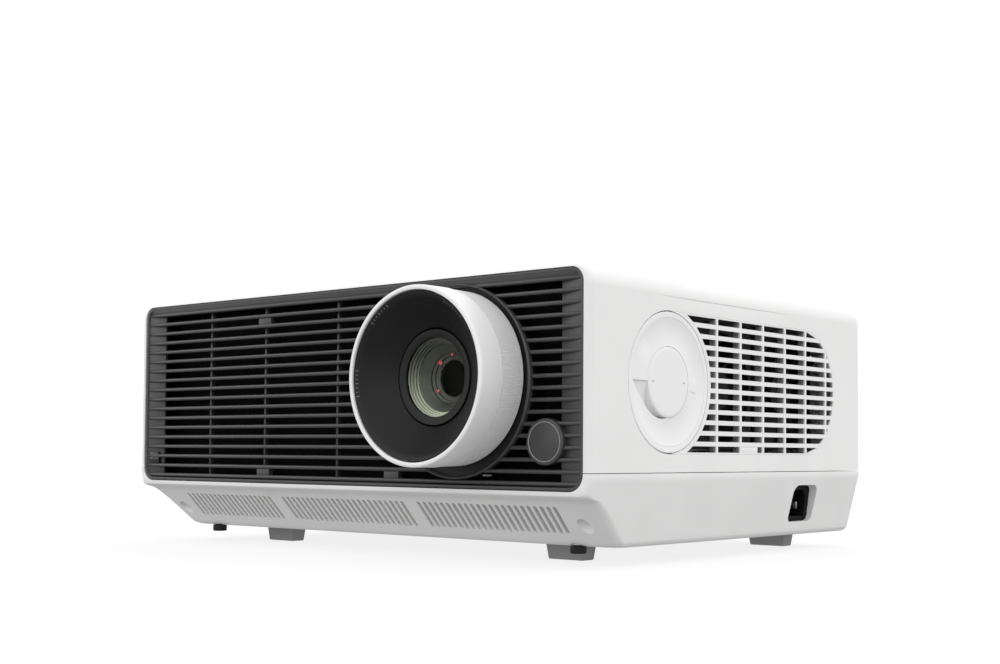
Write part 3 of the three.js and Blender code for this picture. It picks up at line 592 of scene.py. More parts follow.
def build_upper_shell():
    obj = raw_object("upper_shell", upper_shell())
    side_cut = prism(stadium(SIDE_RADIUS), "x", -HALF_WIDTH - 8, HALF_WIDTH + 8)
    x0, x1 = PANEL_LOW.x - PANEL_GAP, PANEL_HIGH.x + PANEL_GAP
    z0, z1 = PANEL_LOW.z - PANEL_GAP, PANEL_HIGH.z + PANEL_GAP
    panel_cut = prism(rounded_rectangle(x0, x1, z0, z1, 2.5), "y", REAR - 8, REAR + 8)
    receiver_cut = prism(circle(RECEIVER_AT.x, RECEIVER_AT.z, 4.3, 48), "y", REAR - 8, REAR + 8)
    key_cut = prism(circle(KEY_AT.x, KEY_AT.z, 6.4, 64), "y", REAR - 8, REAR + 8)
    cut(obj, [FACE_CUT, side_cut, panel_cut, receiver_cut, key_cut, side_crease()])
    soften(obj, 0.35)
    finish_piece(obj, WHITE, stands_for=("top_cover",))
    even_shading(obj)


# Each group's first slot along x, and how many slots it has.
SLOT_GROUPS = [(-149.1, 19), (-57.3, 24), (56.3, 23)]
SLOT_FIRST_Y = -114.6  # where a leaning slot has its place along x
SLOT_MIDDLE_Y = -108.6
SLOT_PITCH = 4.371
SLOT_WIDTH = 2.45
SLOT_LENGTH = 22.8
SLOT_LEAN = 7.6
SLOT_DEPTH = 9.0  # right through the thick wall


def slope_frame():
    """Directions across, down and square to the sloping nose."""
    slope = (NOSE_SLOPE_END - NOSE_SLOPE_TOP).normalized()
    outward = Vector((0, slope.z, -slope.y))
    return Matrix((Vector((1, 0, 0)), slope, outward)).transposed().to_4x4()


def on_slope(x, y):
    share = (y - NOSE_SLOPE_TOP.y) / (NOSE_SLOPE_END.y - NOSE_SLOPE_TOP.y)
    return Vector((x, y, NOSE_SLOPE_TOP.z + share * (NOSE_SLOPE_END.z - NOSE_SLOPE_TOP.z)))


def nose_slots():
    """Leaning round-ended slots, standing square to the sloping nose."""
    half = SLOT_LENGTH / 2 - SLOT_WIDTH / 2
    outline = arc(0, half, SLOT_WIDTH / 2, 0, 180, 6) + arc(0, -half, SLOT_WIDTH / 2, 180, 360, 6)
    turn = slope_frame() @ Matrix.Rotation(math.radians(SLOT_LEAN), 4, "Z")
    slope = NOSE_SLOPE_END - NOSE_SLOPE_TOP
    down = (SLOT_MIDDLE_Y - SLOT_FIRST_Y) * slope.length / slope.y
    shift = down * math.tan(math.radians(SLOT_LEAN))
    slots = []
    for first, count in SLOT_GROUPS:
        for index in range(count):
            place = Matrix.Translation(on_slope(first + index * SLOT_PITCH - shift, SLOT_MIDDLE_Y))
            slots.append(moved(prism(outline, "z", -SLOT_DEPTH, 4), place @ turn))
    return slots


HOLLOW_SHIFT = 0.994  # a little inboard of the screw
HOLLOW_BACK = 1.2

# The hollow's upright wall, as (radius, height above the sloping surface).
HOLLOW_STEPS = [(4.8, -1.5), (4.5, -0.4), (4.3, 0.3), (4.2, 1.4), (4.0, 5.2), (3.3, 6.2), (2.2, 6.6)]


def nose_hollow(x, y):
    """A soft round hollow that runs straight up into the nose, below one of the front case screws."""
    loops = []
    for radius, lift in HOLLOW_STEPS:
        points = [on_slope(px, py) for px, py in circle(x, y, radius, 48)]
        loops.append([(point.x, point.y, point.z + lift) for point in points])
    return loft(loops)


def side_crease():
    """A faint crease along the right side above the vent, fading out at both ends."""
    loops = []
    for y, depth in ((-82, -0.1), (-60, 0.2), (-30, 0.4), (30, 0.4), (58, 0.2), (74, -0.1)):
        loops.append([
            (HALF_WIDTH - depth, y, 142.8), (HALF_WIDTH + 2, y, 143.0), (HALF_WIDTH + 2, y, 138.6),
            (HALF_WIDTH + 0.02, y, 139.4),
        ])
    return loft(loops)


INLET_LOW, INLET_HIGH = node_box("ac_inlet")
INLET_EDGE = 5.5
INLET_GAP = 0.4
INLET_FACE = HALF_WIDTH - 13.5
INLET_REAR_ROOM = 3.2  # how far the opening reaches behind the CAD inlet
SOCKET_REAR = 2.6
SOCKET_INSETS = (2.6, 5.2)  # how far the socket's lower and upper edge lie below the leaning side


def inlet_outline(grow):
    """The opening's outline, roomier towards the rear than the socket inside it."""
    room = INLET_GAP + grow
    return rounded_rectangle(
        INLET_LOW.y - room, INLET_HIGH.y + INLET_REAR_ROOM + grow, INLET_LOW.z - room,
        INLET_HIGH.z + room, INLET_EDGE - 2 + grow, INLET_EDGE + grow,
    )


BOSS_PLACES = [(x, y) for x in (-50, 30) for y in (-50, 110)]
CEILING_BOSS = 4.5
FOOT_WELL = 3.6


def well(x, y, radius, steps):
    """A round opening through the tray's bottom."""
    return turned([(0, 30), (radius, 30), (radius, 0), (0, 0)], "z", x, y, steps)


def build_lower_tray():
    obj = raw_object("lower_tray", lower_tray())
    inlet_cut = prism(inlet_outline(0), "x", HALF_WIDTH - 22, HALF_WIDTH + 6)
    wells = []
    for side in ("left", "right"):
        front_screw = node_centre(f"case_screw_front_{side}")
        rear_screw = node_centre(f"case_screw_rear_{side}")
        foot = node_centre(f"adjust_foot_{side}")
        wells.append(nose_hollow(front_screw.x * HOLLOW_SHIFT, front_screw.y + HOLLOW_BACK))
        bore = [(0, 13.2), (3.5, 13.2), (3.6, 4), (0, 4)]
        wells.append(turned(bore, "z", rear_screw.x, rear_screw.y, 40))
        wells.append(well(foot.x, foot.y, FOOT_WELL, 48))
    wells += [well(x, y, CEILING_BOSS, 40) for x, y in BOSS_PLACES]
    cut(obj, [FACE_CUT, inlet_cut, joined(wells), joined(nose_slots())])
    soften(obj, 0.3)
    finish_piece(obj, WHITE, stands_for=("lower_housing",))
    even_shading(obj)


def build_ceiling_bosses():
    """Four round bosses with blind holes under the casing, for a ceiling bracket."""
    profile = shifted(BOTTOM - BOSS_PROUD, [
        (1.7, 0.2), (1.9, 0), (4.2, 0), (CEILING_BOSS, 0.3), (CEILING_BOSS, 8.8), (0, 8.8),
        (0, 6.8), (1.7, 6.8),
    ])
    shapes = joined([turned(profile, "z", x, y, 40) for x, y in BOSS_PLACES])
    piece("ceiling_bosses", shapes, WHITE)


build_upper_shell()
build_lower_tray()
build_ceiling_bosses()

# ---- Front grille ----

GRILLE_FRONT = -128.6
RIM_WIDTH = 2.0
RIM_DEPTH = 12.0
BAR_COUNT = 18
BAR_PITCH = 6.1
TOP_BAR_Z = 147.1
BAR_HEIGHT = 2.3
COLLAR_Z = 96.9
COLLAR_OUTER = 52.2
THROAT_RADIUS = 49.6
THROAT_MIDDLE = 0.35  # the throat is an upright slot, a little above the collar's centre
THROAT_REACH = 1.25  # its ends lie this far above and below its middle
BOSS_RADIUS = 11.9
STRIP_INNER = 164.0
RIB_X = (-118.5, -66, -2)
CLIP_PLACES = ((-64, 137.9), (-64, 46.4), (45, 46.4))


def grille_rim():
    """A thin frame with a rounded front lip, following the opening."""
    steps = shifted(GRILLE_FRONT, [
        (0.3, RIM_DEPTH), (0.3, 0.5), (0.55, 0.1), (0.9, 0), (RIM_WIDTH - 0.1, 0.15),
        (RIM_WIDTH + 0.25, 0.7), (RIM_WIDTH + 0.5, RIM_DEPTH),
    ])
    loops = [[(x, y, z) for x, z in face_outline(inset)] for inset, y in steps]
    return loft(loops, closed=True)


def bar_outline(z):
    """A louvre bar's section in (y, z): rounded nose, flat back."""
    half = BAR_HEIGHT / 2
    nose = GRILLE_FRONT + 0.7
    front = arc(nose + half, z, half, 90, 270, 10)
    return front + [(nose + 5.5, z - half * 0.75), (nose + 5.5, z + half * 0.75)]


def bar_spans(z):
    """Where a bar runs: it stops at the lens collar."""
    reach = FACE_HALF - RIM_WIDTH
    offset = abs(z - COLLAR_Z)
    radius = COLLAR_OUTER - 0.8
    if offset >= radius:
        return [(-reach, reach)]
    half = math.sqrt(radius**2 - offset**2)
    return [(-reach, LENS.x - half), (LENS.x + half, reach)]


def grille_bars():
    shapes = []
    for index in range(BAR_COUNT):
        z = TOP_BAR_Z - index * BAR_PITCH
        shapes += [prism(bar_outline(z), "x", start, end) for start, end in bar_spans(z)]
    return joined(shapes)


def grille_backing():
    """Thin upright ribs, the end strips, the band over the top bar and the small clips."""
    front = GRILLE_FRONT + 5
    shapes = []
    for x in RIB_X:
        shapes.append(block(x - 0.8, x + 0.8, front, front + 3, FACE_LOW + 2, FACE_HIGH - 2))
    for side in (-1, 1):
        near = side * (FACE_HALF - RIM_WIDTH)
        far = side * STRIP_INNER
        outline = [
            (near, GRILLE_FRONT + 0.9), (far, GRILLE_FRONT + 3.5), (far, GRILLE_FRONT + 5),
            (near, GRILLE_FRONT + RIM_DEPTH),
        ]
        shapes.append(prism(outline, "z", FACE_LOW + 1.5, FACE_HIGH - 1.5))
    band = [
        (GRILLE_FRONT + 0.35, FACE_HIGH - RIM_WIDTH), (GRILLE_FRONT + 1.5, TOP_BAR_Z),
        (GRILLE_FRONT + 6, TOP_BAR_Z), (GRILLE_FRONT + 6, FACE_HIGH - RIM_WIDTH),
    ]
    shapes.append(prism(band, "x", -FACE_HALF + 2, FACE_HALF - 2))
    for x, z in CLIP_PLACES:
        shapes.append(block(x - 5.6, x + 5.6, GRILLE_FRONT + 2.2, GRILLE_FRONT + 6, z - 2.9, z + 2.9))
    return shapes


def build_grille_backing():
    """The backing parts, trimmed to the opening's rounded corners."""
    opening = prism(face_outline(0.4), "y", GRILLE_FRONT - 2, GRILLE_FRONT + 20)
    for index, shape in enumerate(grille_backing()):
        obj = raw_object(f"grille_backing_{index}", shape)
        cut(obj, [opening], keep=True)
        soften(obj, 0.2)
        finish_piece(obj, CHARCOAL)


piece("grille_rim", grille_rim(), CHARCOAL, stands_for=("front_grille",))
piece("grille_bars", grille_bars(), CHARCOAL, soft=0.15)
build_grille_backing()

# Places along the lens, measured from the collar's front.
COLLAR_FRONT = GRILLE_FRONT - 0.3
COLLAR_DEPTH = 3.0
LINER_FRONT = COLLAR_DEPTH + 0.05
LINER_REAR = RIM_DEPTH + 2.3
PLATE_FRONT = 3.3  # behind the grip ring, which leaves a gap round it for the lens shift
PLATE_REAR = 4.5
PLATE_INNER = 43.0


def collar_loop(radius, along, slot):
    """A ring that turns from a circle (slot 0) into an upright round-ended slot (slot 1)."""
    loop = []
    for u, v in circle(0, 0, radius, 160):
        side = max(-1, min(1, v / 2))
        middle = COLLAR_Z + slot * (THROAT_MIDDLE + THROAT_REACH * side)
        loop.append((LENS.x + u, COLLAR_FRONT + along, middle + v))
    return loop


collar_steps = [
    (THROAT_RADIUS, COLLAR_DEPTH, 1), (THROAT_RADIUS, 1.5, 1), (THROAT_RADIUS + 0.2, 1.1, 1),
    (50.4, 0.5, 0.7), (51.1, 0.1, 0.3), (51.5, 0, 0), (51.9, 0.2, 0), (COLLAR_OUTER, 0.7, 0),
    (COLLAR_OUTER, COLLAR_DEPTH, 0),
]
# Painted shade: the liner's near-black matte makes the throat behind the collar read as deep shade.
liner_steps = [
    (THROAT_RADIUS, LINER_FRONT, 1), (COLLAR_OUTER, LINER_FRONT, 0), (COLLAR_OUTER, LINER_REAR, 0),
    (THROAT_RADIUS, LINER_REAR, 1),
]
plate_steps = [
    (PLATE_INNER, PLATE_FRONT, 1), (THROAT_RADIUS - 0.05, PLATE_FRONT, 1),
    (THROAT_RADIUS - 0.05, PLATE_REAR, 1), (PLATE_INNER, PLATE_REAR, 1),
]
for name, steps, material in (
    ("lens_collar", collar_steps, CHARCOAL),
    ("throat_shade_liner", liner_steps, BLACK_MESH_AND_SHADE),
    ("throat_plate", plate_steps, HOOD_BLACK),
):
    shape = loft([collar_loop(*step) for step in steps], closed=True)
    piece(name, shape, material)

INDEX_X = (114.4, 119.4)
INDEX_Z = (46.7, 47.6)
index_mark = block(*INDEX_X, GRILLE_FRONT + 0.1, GRILLE_FRONT + 2.5, *INDEX_Z)
piece("zoom_index", index_mark, RING_GREY, soft=0.2)

BADGE_RADIUS = 10.1
badge_front = GRILLE_FRONT - 0.8
badge_parts = {
    "badge_boss": (CHARCOAL, (), [
        (BADGE_RADIUS + 0.25, 6.8), (BADGE_RADIUS + 0.25, 0.1), (BADGE_RADIUS + 0.4, 0),
        (BOSS_RADIUS - 0.5, 0.1), (BOSS_RADIUS, 0.6), (BOSS_RADIUS, 6.8),
    ]),
    "badge_ring": (BADGE_GREY, (), [
        (BADGE_RADIUS + 0.2, 2.2), (BADGE_RADIUS + 0.2, -0.05), (BADGE_RADIUS, -0.12),
        (BADGE_RADIUS - 0.2, -0.05), (BADGE_RADIUS - 0.2, 2.2),
    ]),
    "badge_face": (CHARCOAL, ("badge",), [
        (0, 2.2), (BADGE_RADIUS - 0.25, 2.2), (BADGE_RADIUS - 0.25, 0.15), (BADGE_RADIUS - 0.5, 0.05),
        (0, 0.05),
    ]),
}
for name, (material, nodes, profile) in badge_parts.items():
    shape = turned(shifted(badge_front, profile), "y", BADGE.x, BADGE.z, 96)
    piece(name, shape, material, stands_for=nodes)

window_low, window_high = node_box("ir_receiver")
window_outline = rounded_rectangle(window_low.x, window_high.x, window_low.z, window_high.z, 2.0)
window = prism(window_outline, "y", window_low.y, window_high.y)
piece("receiver_window", window, WINDOW, stands_for=("ir_receiver",), soft=0.4)


# ---- Side vents ----

VENT_FACE = HALF_WIDTH - 0.05
VENT_ROWS = 13
VENT_PITCH = 5.9
CELL_HEIGHT = 3.4
RIB_WIDTH = 1.9
SKIN = 0.9
RIB_BACK = 4.6
RIB_REACH = SIDE_RADIUS - 1.5
VENT_LIMIT = SIDE_RADIUS - 0.9
VENT_GAP = 0.08
CELL_LEAST = 0.8  # a cell's edge shorter than this shrinks to a point
CELL_TIP = 0.6
RIB_Y = (-11.7, 13.6, 38.7, 64.3, 89.4, 115.2)
LEFT_RIB_Y = (-36.0, -10.7, 14.5, 39.7, 65.0, 90.2)
LEFT_FIRST_Y = -61.2  # the left vent's first gap between cells has no rib behind it
LEFT_START_Y = -140.0


def half_chord(radius, z):
    """Half the width of a circle round the vents' middle line, at a height."""
    return math.sqrt(max(radius**2 - (z - SIDE_Z) ** 2, 0))


def cell_corner(y, z, start_y, clear_radius):
    """A cell's corner, held inside the round-ended outline and clear of the dial."""
    if y == start_y:
        y = SIDE_FRONT_Y - half_chord(VENT_LIMIT, z)
        if clear_radius:
            y = SIDE_FRONT_Y + half_chord(clear_radius, z)
    elif y > SIDE_REAR_Y:
        y = min(y, SIDE_REAR_Y + half_chord(VENT_LIMIT, z))
    return y, z


def vent_cells(x0, x1, rib_places, start_y, clear_radius):
    """Openings between bars and ribs, one shape for each cell; cut-off cells become triangles."""
    edges = [start_y] + [y for rib in rib_places for y in (rib - RIB_WIDTH / 2, rib + RIB_WIDTH / 2)]
    edges.append(SIDE_REAR_Y + SIDE_RADIUS - 0.6)
    cells = []
    for row in range(VENT_ROWS):
        z = SIDE_Z + (row - (VENT_ROWS - 1) / 2) * VENT_PITCH
        low = max(z - CELL_HEIGHT / 2, SIDE_Z - VENT_LIMIT)
        high = min(z + CELL_HEIGHT / 2, SIDE_Z + VENT_LIMIT)
        for y0, y1 in zip(edges[::2], edges[1::2]):
            places = ((y0, high), (y0, low), (y1, low), (y1, high))
            corners = [cell_corner(y, z_edge, start_y, clear_radius) for y, z_edge in places]
            upper = corners[3][0] - corners[0][0]
            lower = corners[2][0] - corners[1][0]
            if min(upper, lower) <= CELL_LEAST:
                if max(upper, lower) <= 2 * CELL_LEAST:
                    continue
                if upper <= CELL_LEAST:
                    corners = [corners[1], corners[2], (corners[1][0] + CELL_TIP, high)]
                else:
                    corners = [corners[0], (corners[0][0] + CELL_TIP, low), corners[3]]
            cells.append(prism(corners, "x", x0, x1))
    return cells


def vent_ribs(front, back, places):
    """Deep upright ribs behind the bars."""
    shapes = []
    for y in places:
        half = RIB_REACH
        if y > SIDE_REAR_Y:
            half = math.sqrt(max(RIB_REACH**2 - (y - SIDE_REAR_Y) ** 2, 4))
        sides = (y - RIB_WIDTH / 2, y + RIB_WIDTH / 2)
        shapes.append(block(min(front, back), max(front, back), *sides, SIDE_Z - half, SIDE_Z + half))
    return joined(shapes)


def build_vent(name, node, side, outline, cell_places, rib_places, start_y, clear_radius):
    """A thin skin with its openings, and the ribs behind it; side is 1 on the right, -1 on the left."""
    outer = side * VENT_FACE
    inner = outer - side * SKIN
    x0, x1 = sorted((inner, outer))
    obj = raw_object(name, prism(outline, "x", x0, x1))
    cut(obj, [joined(vent_cells(x0 - 2, x1 + 2, cell_places, start_y, clear_radius))])
    soften(obj, 0.12, 1)
    finish_piece(obj, WHITE, stands_for=(node,))
    ribs = vent_ribs(inner - side * 0.02, outer - side * RIB_BACK, rib_places)
    # The ribs' grey is painted shade.
    piece(f"{name}_ribs", ribs, SHADED_RIB_GREY, soft=0.1)


def build_right_vent():
    """The right vent ends in a concave edge round the dial's dish, and has a latch in its lowest row."""
    clear = node_box("dial_dish")[1].z - DIAL.z + 0.25
    concave = arc(DIAL.y, DIAL.z, clear, 86, -86, 60)
    edge = SIDE_RADIUS - VENT_GAP
    outline = arc(SIDE_REAR_Y, SIDE_Z, edge, -90, 90, 48) + [(concave[0][0], SIDE_Z + edge)] + concave
    outline.append((concave[-1][0], SIDE_Z - edge))
    build_vent("right_vent", "side_vent_grille", 1, outline, RIB_Y, RIB_Y, DIAL.y, clear + 2.8)
    latch_z = SIDE_Z - (VENT_ROWS - 1) / 2 * VENT_PITCH
    latch = block(VENT_FACE - SKIN, VENT_FACE - 0.12, 14.6, 32.4, latch_z - 1.75, latch_z + 1.6)
    piece("vent_latch", latch, WHITE, soft=0.2)


def build_left_vent():
    """The left vent is round at both ends."""
    outline = stadium(SIDE_RADIUS - VENT_GAP)
    cell_places = (LEFT_FIRST_Y, *LEFT_RIB_Y)
    build_vent("left_vent", "left_vent_grille", -1, outline, cell_places, LEFT_RIB_Y, LEFT_START_Y, 0)


build_right_vent()
build_left_vent()


# ---- Dials ----

dish_rim = HALF_WIDTH - 0.1
RING_OUTER = 34.3
RING_INNER = 19.08
KNOB_RADIUS = 19.0
KNOB_FACE = dish_rim - 0.45
DIAL_BACK = 177.0
STEP_BACK = 178.5
BOWL_DEPTH = 1.7
BOWL_RISE = 1.1
dish_profile = shifted(dish_rim, [
    (4.4, -10.5), (37.55, -10.5), (37.55, -0.2), (37.35, 0), (34.6, 0), (34.36, -0.06), (34.35, -0.3),
    (34.35, -8.4), (4.4, -8.4),
])
piece("dial_bowl", turned(dish_profile, "x", DIAL.y, DIAL.z, 128), WHITE_FINE,
      stands_for=("dial_dish",))


def bowl_x(radius):
    """The outer ring's face: a hollow that drops off at the rim and levels out by the knob."""
    share = (RING_OUTER - radius) / (RING_OUTER - RING_INNER)
    return dish_rim - 0.06 - BOWL_DEPTH * (1 - (1 - share) ** 2.2) + BOWL_RISE * share**2


def sector(start, end, steps, section):
    """A skin along an arc of the dial; section(share) gives (radius, x) points for each step."""
    loops = []
    for step in range(steps + 1):
        angle = math.radians(start + (end - start) * step / steps)
        loops.append([
            (x, DIAL.y + radius * math.cos(angle), DIAL.z + radius * math.sin(angle))
            for radius, x in section(step / steps)
        ])
    return loft(loops)


def raised_step(inner, outer, top, start, end):
    """A finger step on the ring: full height at its start angle, fading into the bowl at its end."""
    radii = [inner + (outer - inner) * i / 6 for i in range(7)]

    def section(share):
        fade = max(0.0, (share - 0.35) / 0.65)
        height = 1 - fade * fade * (3 - 2 * fade)
        face = [(r, bowl_x(r) - 0.06 + height * (top - bowl_x(r))) for r in radii]
        face[0] = (face[0][0], face[0][1] - 0.3 * height)
        face[-1] = (face[-1][0], face[-1][1] - 0.15 * height)
        return [(inner, STEP_BACK)] + face + [(outer, STEP_BACK)]

    return sector(start, end, 24, section)


# The recess's outer edge as (angle, radius), and how deep its floor lies there.
RECESS_EDGE = [(180, 33.4), (190, 29.6), (201, 25.9), (217, 24.0), (233, 22.5), (247, 21.0), (264, 19.2)]
RECESS_DEPTH = (1.1, 6.2)


def recess_radius(angle):
    for (a0, r0), (a1, r1) in zip(RECESS_EDGE, RECESS_EDGE[1:]):
        if angle <= a1:
            return r0 + (r1 - r0) * (angle - a0) / (a1 - a0)
    return RECESS_EDGE[-1][1]


def finger_recess():
    """The crescent below the finger tab, which narrows and deepens round the knob."""
    start, end = RECESS_EDGE[0][0], RECESS_EDGE[-1][0]

    def section(share):
        outer = recess_radius(start + (end - start) * share)
        floor = dish_rim - RECESS_DEPTH[0] - (RECESS_DEPTH[1] - RECESS_DEPTH[0]) * min(1, 1.7 * share)
        top = dish_rim + 4
        return [(RING_INNER - 0.8, floor), (outer - 0.8, floor), (outer, floor + 0.9), (outer, top),
                (RING_INNER - 0.8, top)]

    return sector(start, end, 36, section)


def dial_mark(y):
    """A tiny printed triangle."""
    outline = [(y - 0.8, DIAL.z - 0.56), (y + 0.8, DIAL.z), (y - 0.8, DIAL.z + 0.56)]
    return prism(outline, "x", KNOB_FACE - 0.1, KNOB_FACE + 0.02)


def build_outer_dial():
    """A hollowed ring with a finger tab at the front and a small step at the rear."""
    radii = [RING_OUTER - 0.1 - (RING_OUTER - RING_INNER - 0.2) * i / 10 for i in range(11)]
    rim = (RING_OUTER, bowl_x(RING_OUTER) - 0.1)
    profile = [(RING_INNER, DIAL_BACK), (RING_OUTER, DIAL_BACK), rim]
    profile += [(radius, bowl_x(radius)) for radius in radii]
    profile.append((RING_INNER, bowl_x(RING_INNER) - 0.15))
    obj = raw_object("outer_dial", turned(profile, "x", DIAL.y, DIAL.z, 128))
    cut(obj, [finger_recess()])
    finish_piece(obj, WHITE_FINE, body="vertical_dial",
                 stands_for=("vertical_shift_dial",))
    steps = {
        "outer_dial_tab": raised_step(RING_INNER + 0.9, RING_OUTER - 0.1, dish_rim - 0.02, 180, 128),
        "outer_dial_step": raised_step(RING_INNER + 0.3, 27.4, dish_rim - 0.75, -11, 14),
    }
    for name, shape in steps.items():
        piece(name, shape, WHITE_FINE, body="vertical_dial", soft=0.15)


def build_inner_dial():
    """The flat round knob in the middle, with a small mark on each side."""
    profile = [
        (0, DIAL_BACK + 0.2), (KNOB_RADIUS, DIAL_BACK + 0.2), (KNOB_RADIUS, KNOB_FACE - 0.8),
        (KNOB_RADIUS - 0.1, KNOB_FACE - 0.4), (KNOB_RADIUS - 0.5, KNOB_FACE - 0.14),
        (KNOB_RADIUS - 1.5, KNOB_FACE - 0.02), (KNOB_RADIUS - 2.4, KNOB_FACE), (0, KNOB_FACE),
    ]
    piece("inner_dial", turned(profile, "x", DIAL.y, DIAL.z, 128), WHITE_FINE,
          body="horizontal_dial", stands_for=("horizontal_shift_dial",))
    marks = joined([dial_mark(DIAL.y - 14.6), dial_mark(DIAL.y + 14.6)])
    piece("inner_dial_marks", marks, PRINT, body="horizontal_dial")


build_outer_dial()
build_inner_dial()


# ---- Lens ----


def lens_piece(name, profile, material, body, stands_for=(), steps=160, smooth=35):
    """A piece turned round the lens's axis."""
    shape = turned(profile, "y", LENS.x, LENS.z, steps)
    piece(name, shape, material, body, stands_for, smooth=smooth)


RING_FRONT, FOCUS_REAR = (corner.y for corner in node_box("focus_ring"))
ZOOM_FRONT, ZOOM_REAR = (corner.y for corner in node_box("zoom_ring"))
RING_RADIUS = 47.5
MOUTH_RADIUS = 44.9

focus_profile = [
    (MOUTH_RADIUS, FOCUS_REAR - 3), (MOUTH_RADIUS, RING_FRONT + 0.6),
    (MOUTH_RADIUS + 0.2, RING_FRONT + 0.18), (MOUTH_RADIUS + 0.6, RING_FRONT),
    (RING_RADIUS - 0.9, RING_FRONT), (RING_RADIUS - 0.35, RING_FRONT + 0.25),
    (RING_RADIUS - 0.06, RING_FRONT + 0.8), (RING_RADIUS, RING_FRONT + 1.6),
    (RING_RADIUS, FOCUS_REAR - 0.3), (RING_RADIUS - 0.3, FOCUS_REAR), (40.2, FOCUS_REAR),
    (40.2, FOCUS_REAR - 3),
]
lens_piece("focus_sleeve", focus_profile, WHITE_FINE, "focus_control", ("focus_ring",))


def serrated_ring():
    """A ring whose outside carries fine grip teeth along the axis."""
    teeth = 300
    pattern = (0.0, 0.0, 0.5)
    steps = [
        (40.3, ZOOM_FRONT, 0.0), (RING_RADIUS - 0.7, ZOOM_FRONT, 0.0),
        (RING_RADIUS - 0.4, ZOOM_FRONT + 0.3, 0.0), (RING_RADIUS - 0.4, ZOOM_FRONT + 1.0, 0.0),
        (RING_RADIUS - 0.4, ZOOM_FRONT + 1.2, 1.0), (RING_RADIUS - 0.7, ZOOM_REAR - 1.0, 1.0),
        (RING_RADIUS - 0.7, ZOOM_REAR - 0.8, 0.0), (RING_RADIUS - 1.0, ZOOM_REAR, 0.0),
        (40.3, ZOOM_REAR, 0.0),
    ]
    count = teeth * len(pattern)
    loops = []
    for radius, y, tooth in steps:
        loop = []
        for index in range(count):
            angle = 2 * math.pi * index / count
            r = radius - tooth * pattern[index % len(pattern)]
            loop.append((LENS.x + r * math.cos(angle), y, LENS.z + r * math.sin(angle)))
        loops.append(loop)
    return loft(loops, closed=True)


piece("zoom_grip", serrated_ring(), WHITE_FINE, "zoom_control", ("zoom_ring",), smooth=25)

cone_profile = shifted(RING_FRONT, [
    (44.35, 0.9), (44.1, 0.7), (41.4, 2.5), (41.2, 3.0), (26.6, 16.1), (26.2, 16.6), (26.2, 18.0),
    (36.6, 8.6), (36.6, 12.6), (39.2, 12.6), (39.2, 6.4), (44.35, 2.9),
])
lens_piece("hood_cone", cone_profile, HOOD_BLACK, "lens", ("lens_hood",))

retainer_profile = shifted(RING_FRONT, [
    (20.9, 17.7), (21.0, 17.1), (21.5, 16.7), (24.6, 16.25), (25.1, 16.2), (25.35, 16.5),
    (25.35, 21.4), (20.9, 21.4),
])
lens_piece("glass_retainer", retainer_profile, HOOD_BLACK, "focus_group",
           ("lens_retainer",))

GLASS_RADIUS = 20.85
GLASS_CURVE = 103.0
GLASS_APEX = RING_FRONT + 15.6
GLASS_THICKNESS = 1.0


def glass_cap(apex):
    """The glass's domed surface, from the axis out to its edge."""
    radii = [GLASS_RADIUS * index / 10 for index in range(11)]
    return [(r, apex + GLASS_CURVE - math.sqrt(GLASS_CURVE**2 - r**2)) for r in radii]


front_cap = glass_cap(GLASS_APEX)
back_cap = glass_cap(GLASS_APEX + GLASS_THICKNESS)
lens_piece("front_glass", front_cap + list(reversed(back_cap)), GLASS, "focus_group",
           ("front_lens",), steps=128, smooth=60)

core_front = GLASS_APEX + 3.2
ring_steps = shifted(core_front, [
    (20.85, 0), (20.4, 0.3), (20.4, 1.7), (19.7, 1.9), (19.6, 3.3), (19.0, 3.5), (18.9, 4.9),
    (18.3, 5.1), (18.2, 6.4), (18.2, 6.6), (21.3, 6.6), (21.3, 0),
])
lens_piece("core_rings", ring_steps, CORE_RINGS, "focus_group", steps=128, smooth=20)
funnel_steps = shifted(core_front, [
    (18.1, 6.3), (16.6, 7.2), (14.8, 8.6), (13.4, 9.8), (13.3, 10.6), (11.9, 11.4), (11.8, 12.2),
    (9.8, 13.2), (9.8, 16.0), (18.1, 16.0),
])
lens_piece("core_funnel", funnel_steps, CORE, "focus_group", steps=128, smooth=30)
# Painted shade: a solid near-black disc stands for the dark depth behind the aperture.
stop = shifted(core_front, [(0, 14.6), (9.7, 14.6), (9.7, 15.8), (0, 15.8)])
lens_piece("aperture_shade_disc", stop, BLACK_MESH_AND_SHADE, "focus_group", steps=64)


def glint(angle, distance, along, size):
    """A small domed spot in front of the funnel that carries a painted red reflection."""
    turn = math.radians(angle)
    x = LENS.x + distance * math.cos(turn)
    z = LENS.z + distance * math.sin(turn)
    profile = [(0, along - 0.25 * size), (size * 0.7, along - 0.15 * size), (size, along), (0, along)]
    return turned(profile, "y", x, z, 24)


# Painted reflections: three small red glints deep in the lens.
glints = joined([
    glint(132.5, 11.7, core_front + 11.0, 1.25),
    glint(214.7, 11.4, core_front + 11.2, 0.95),
    glint(84, 12.8, core_front + 10.2, 0.8),
])
piece("painted_red_glints", glints, PAINTED_RED_GLINT, "focus_group", smooth=60)

TICK_GROUPS = (52, 128, 184)  # middle of each group of marks round the hood, in degrees
TICK_COUNT = 7
TICK_STEP = 3.1


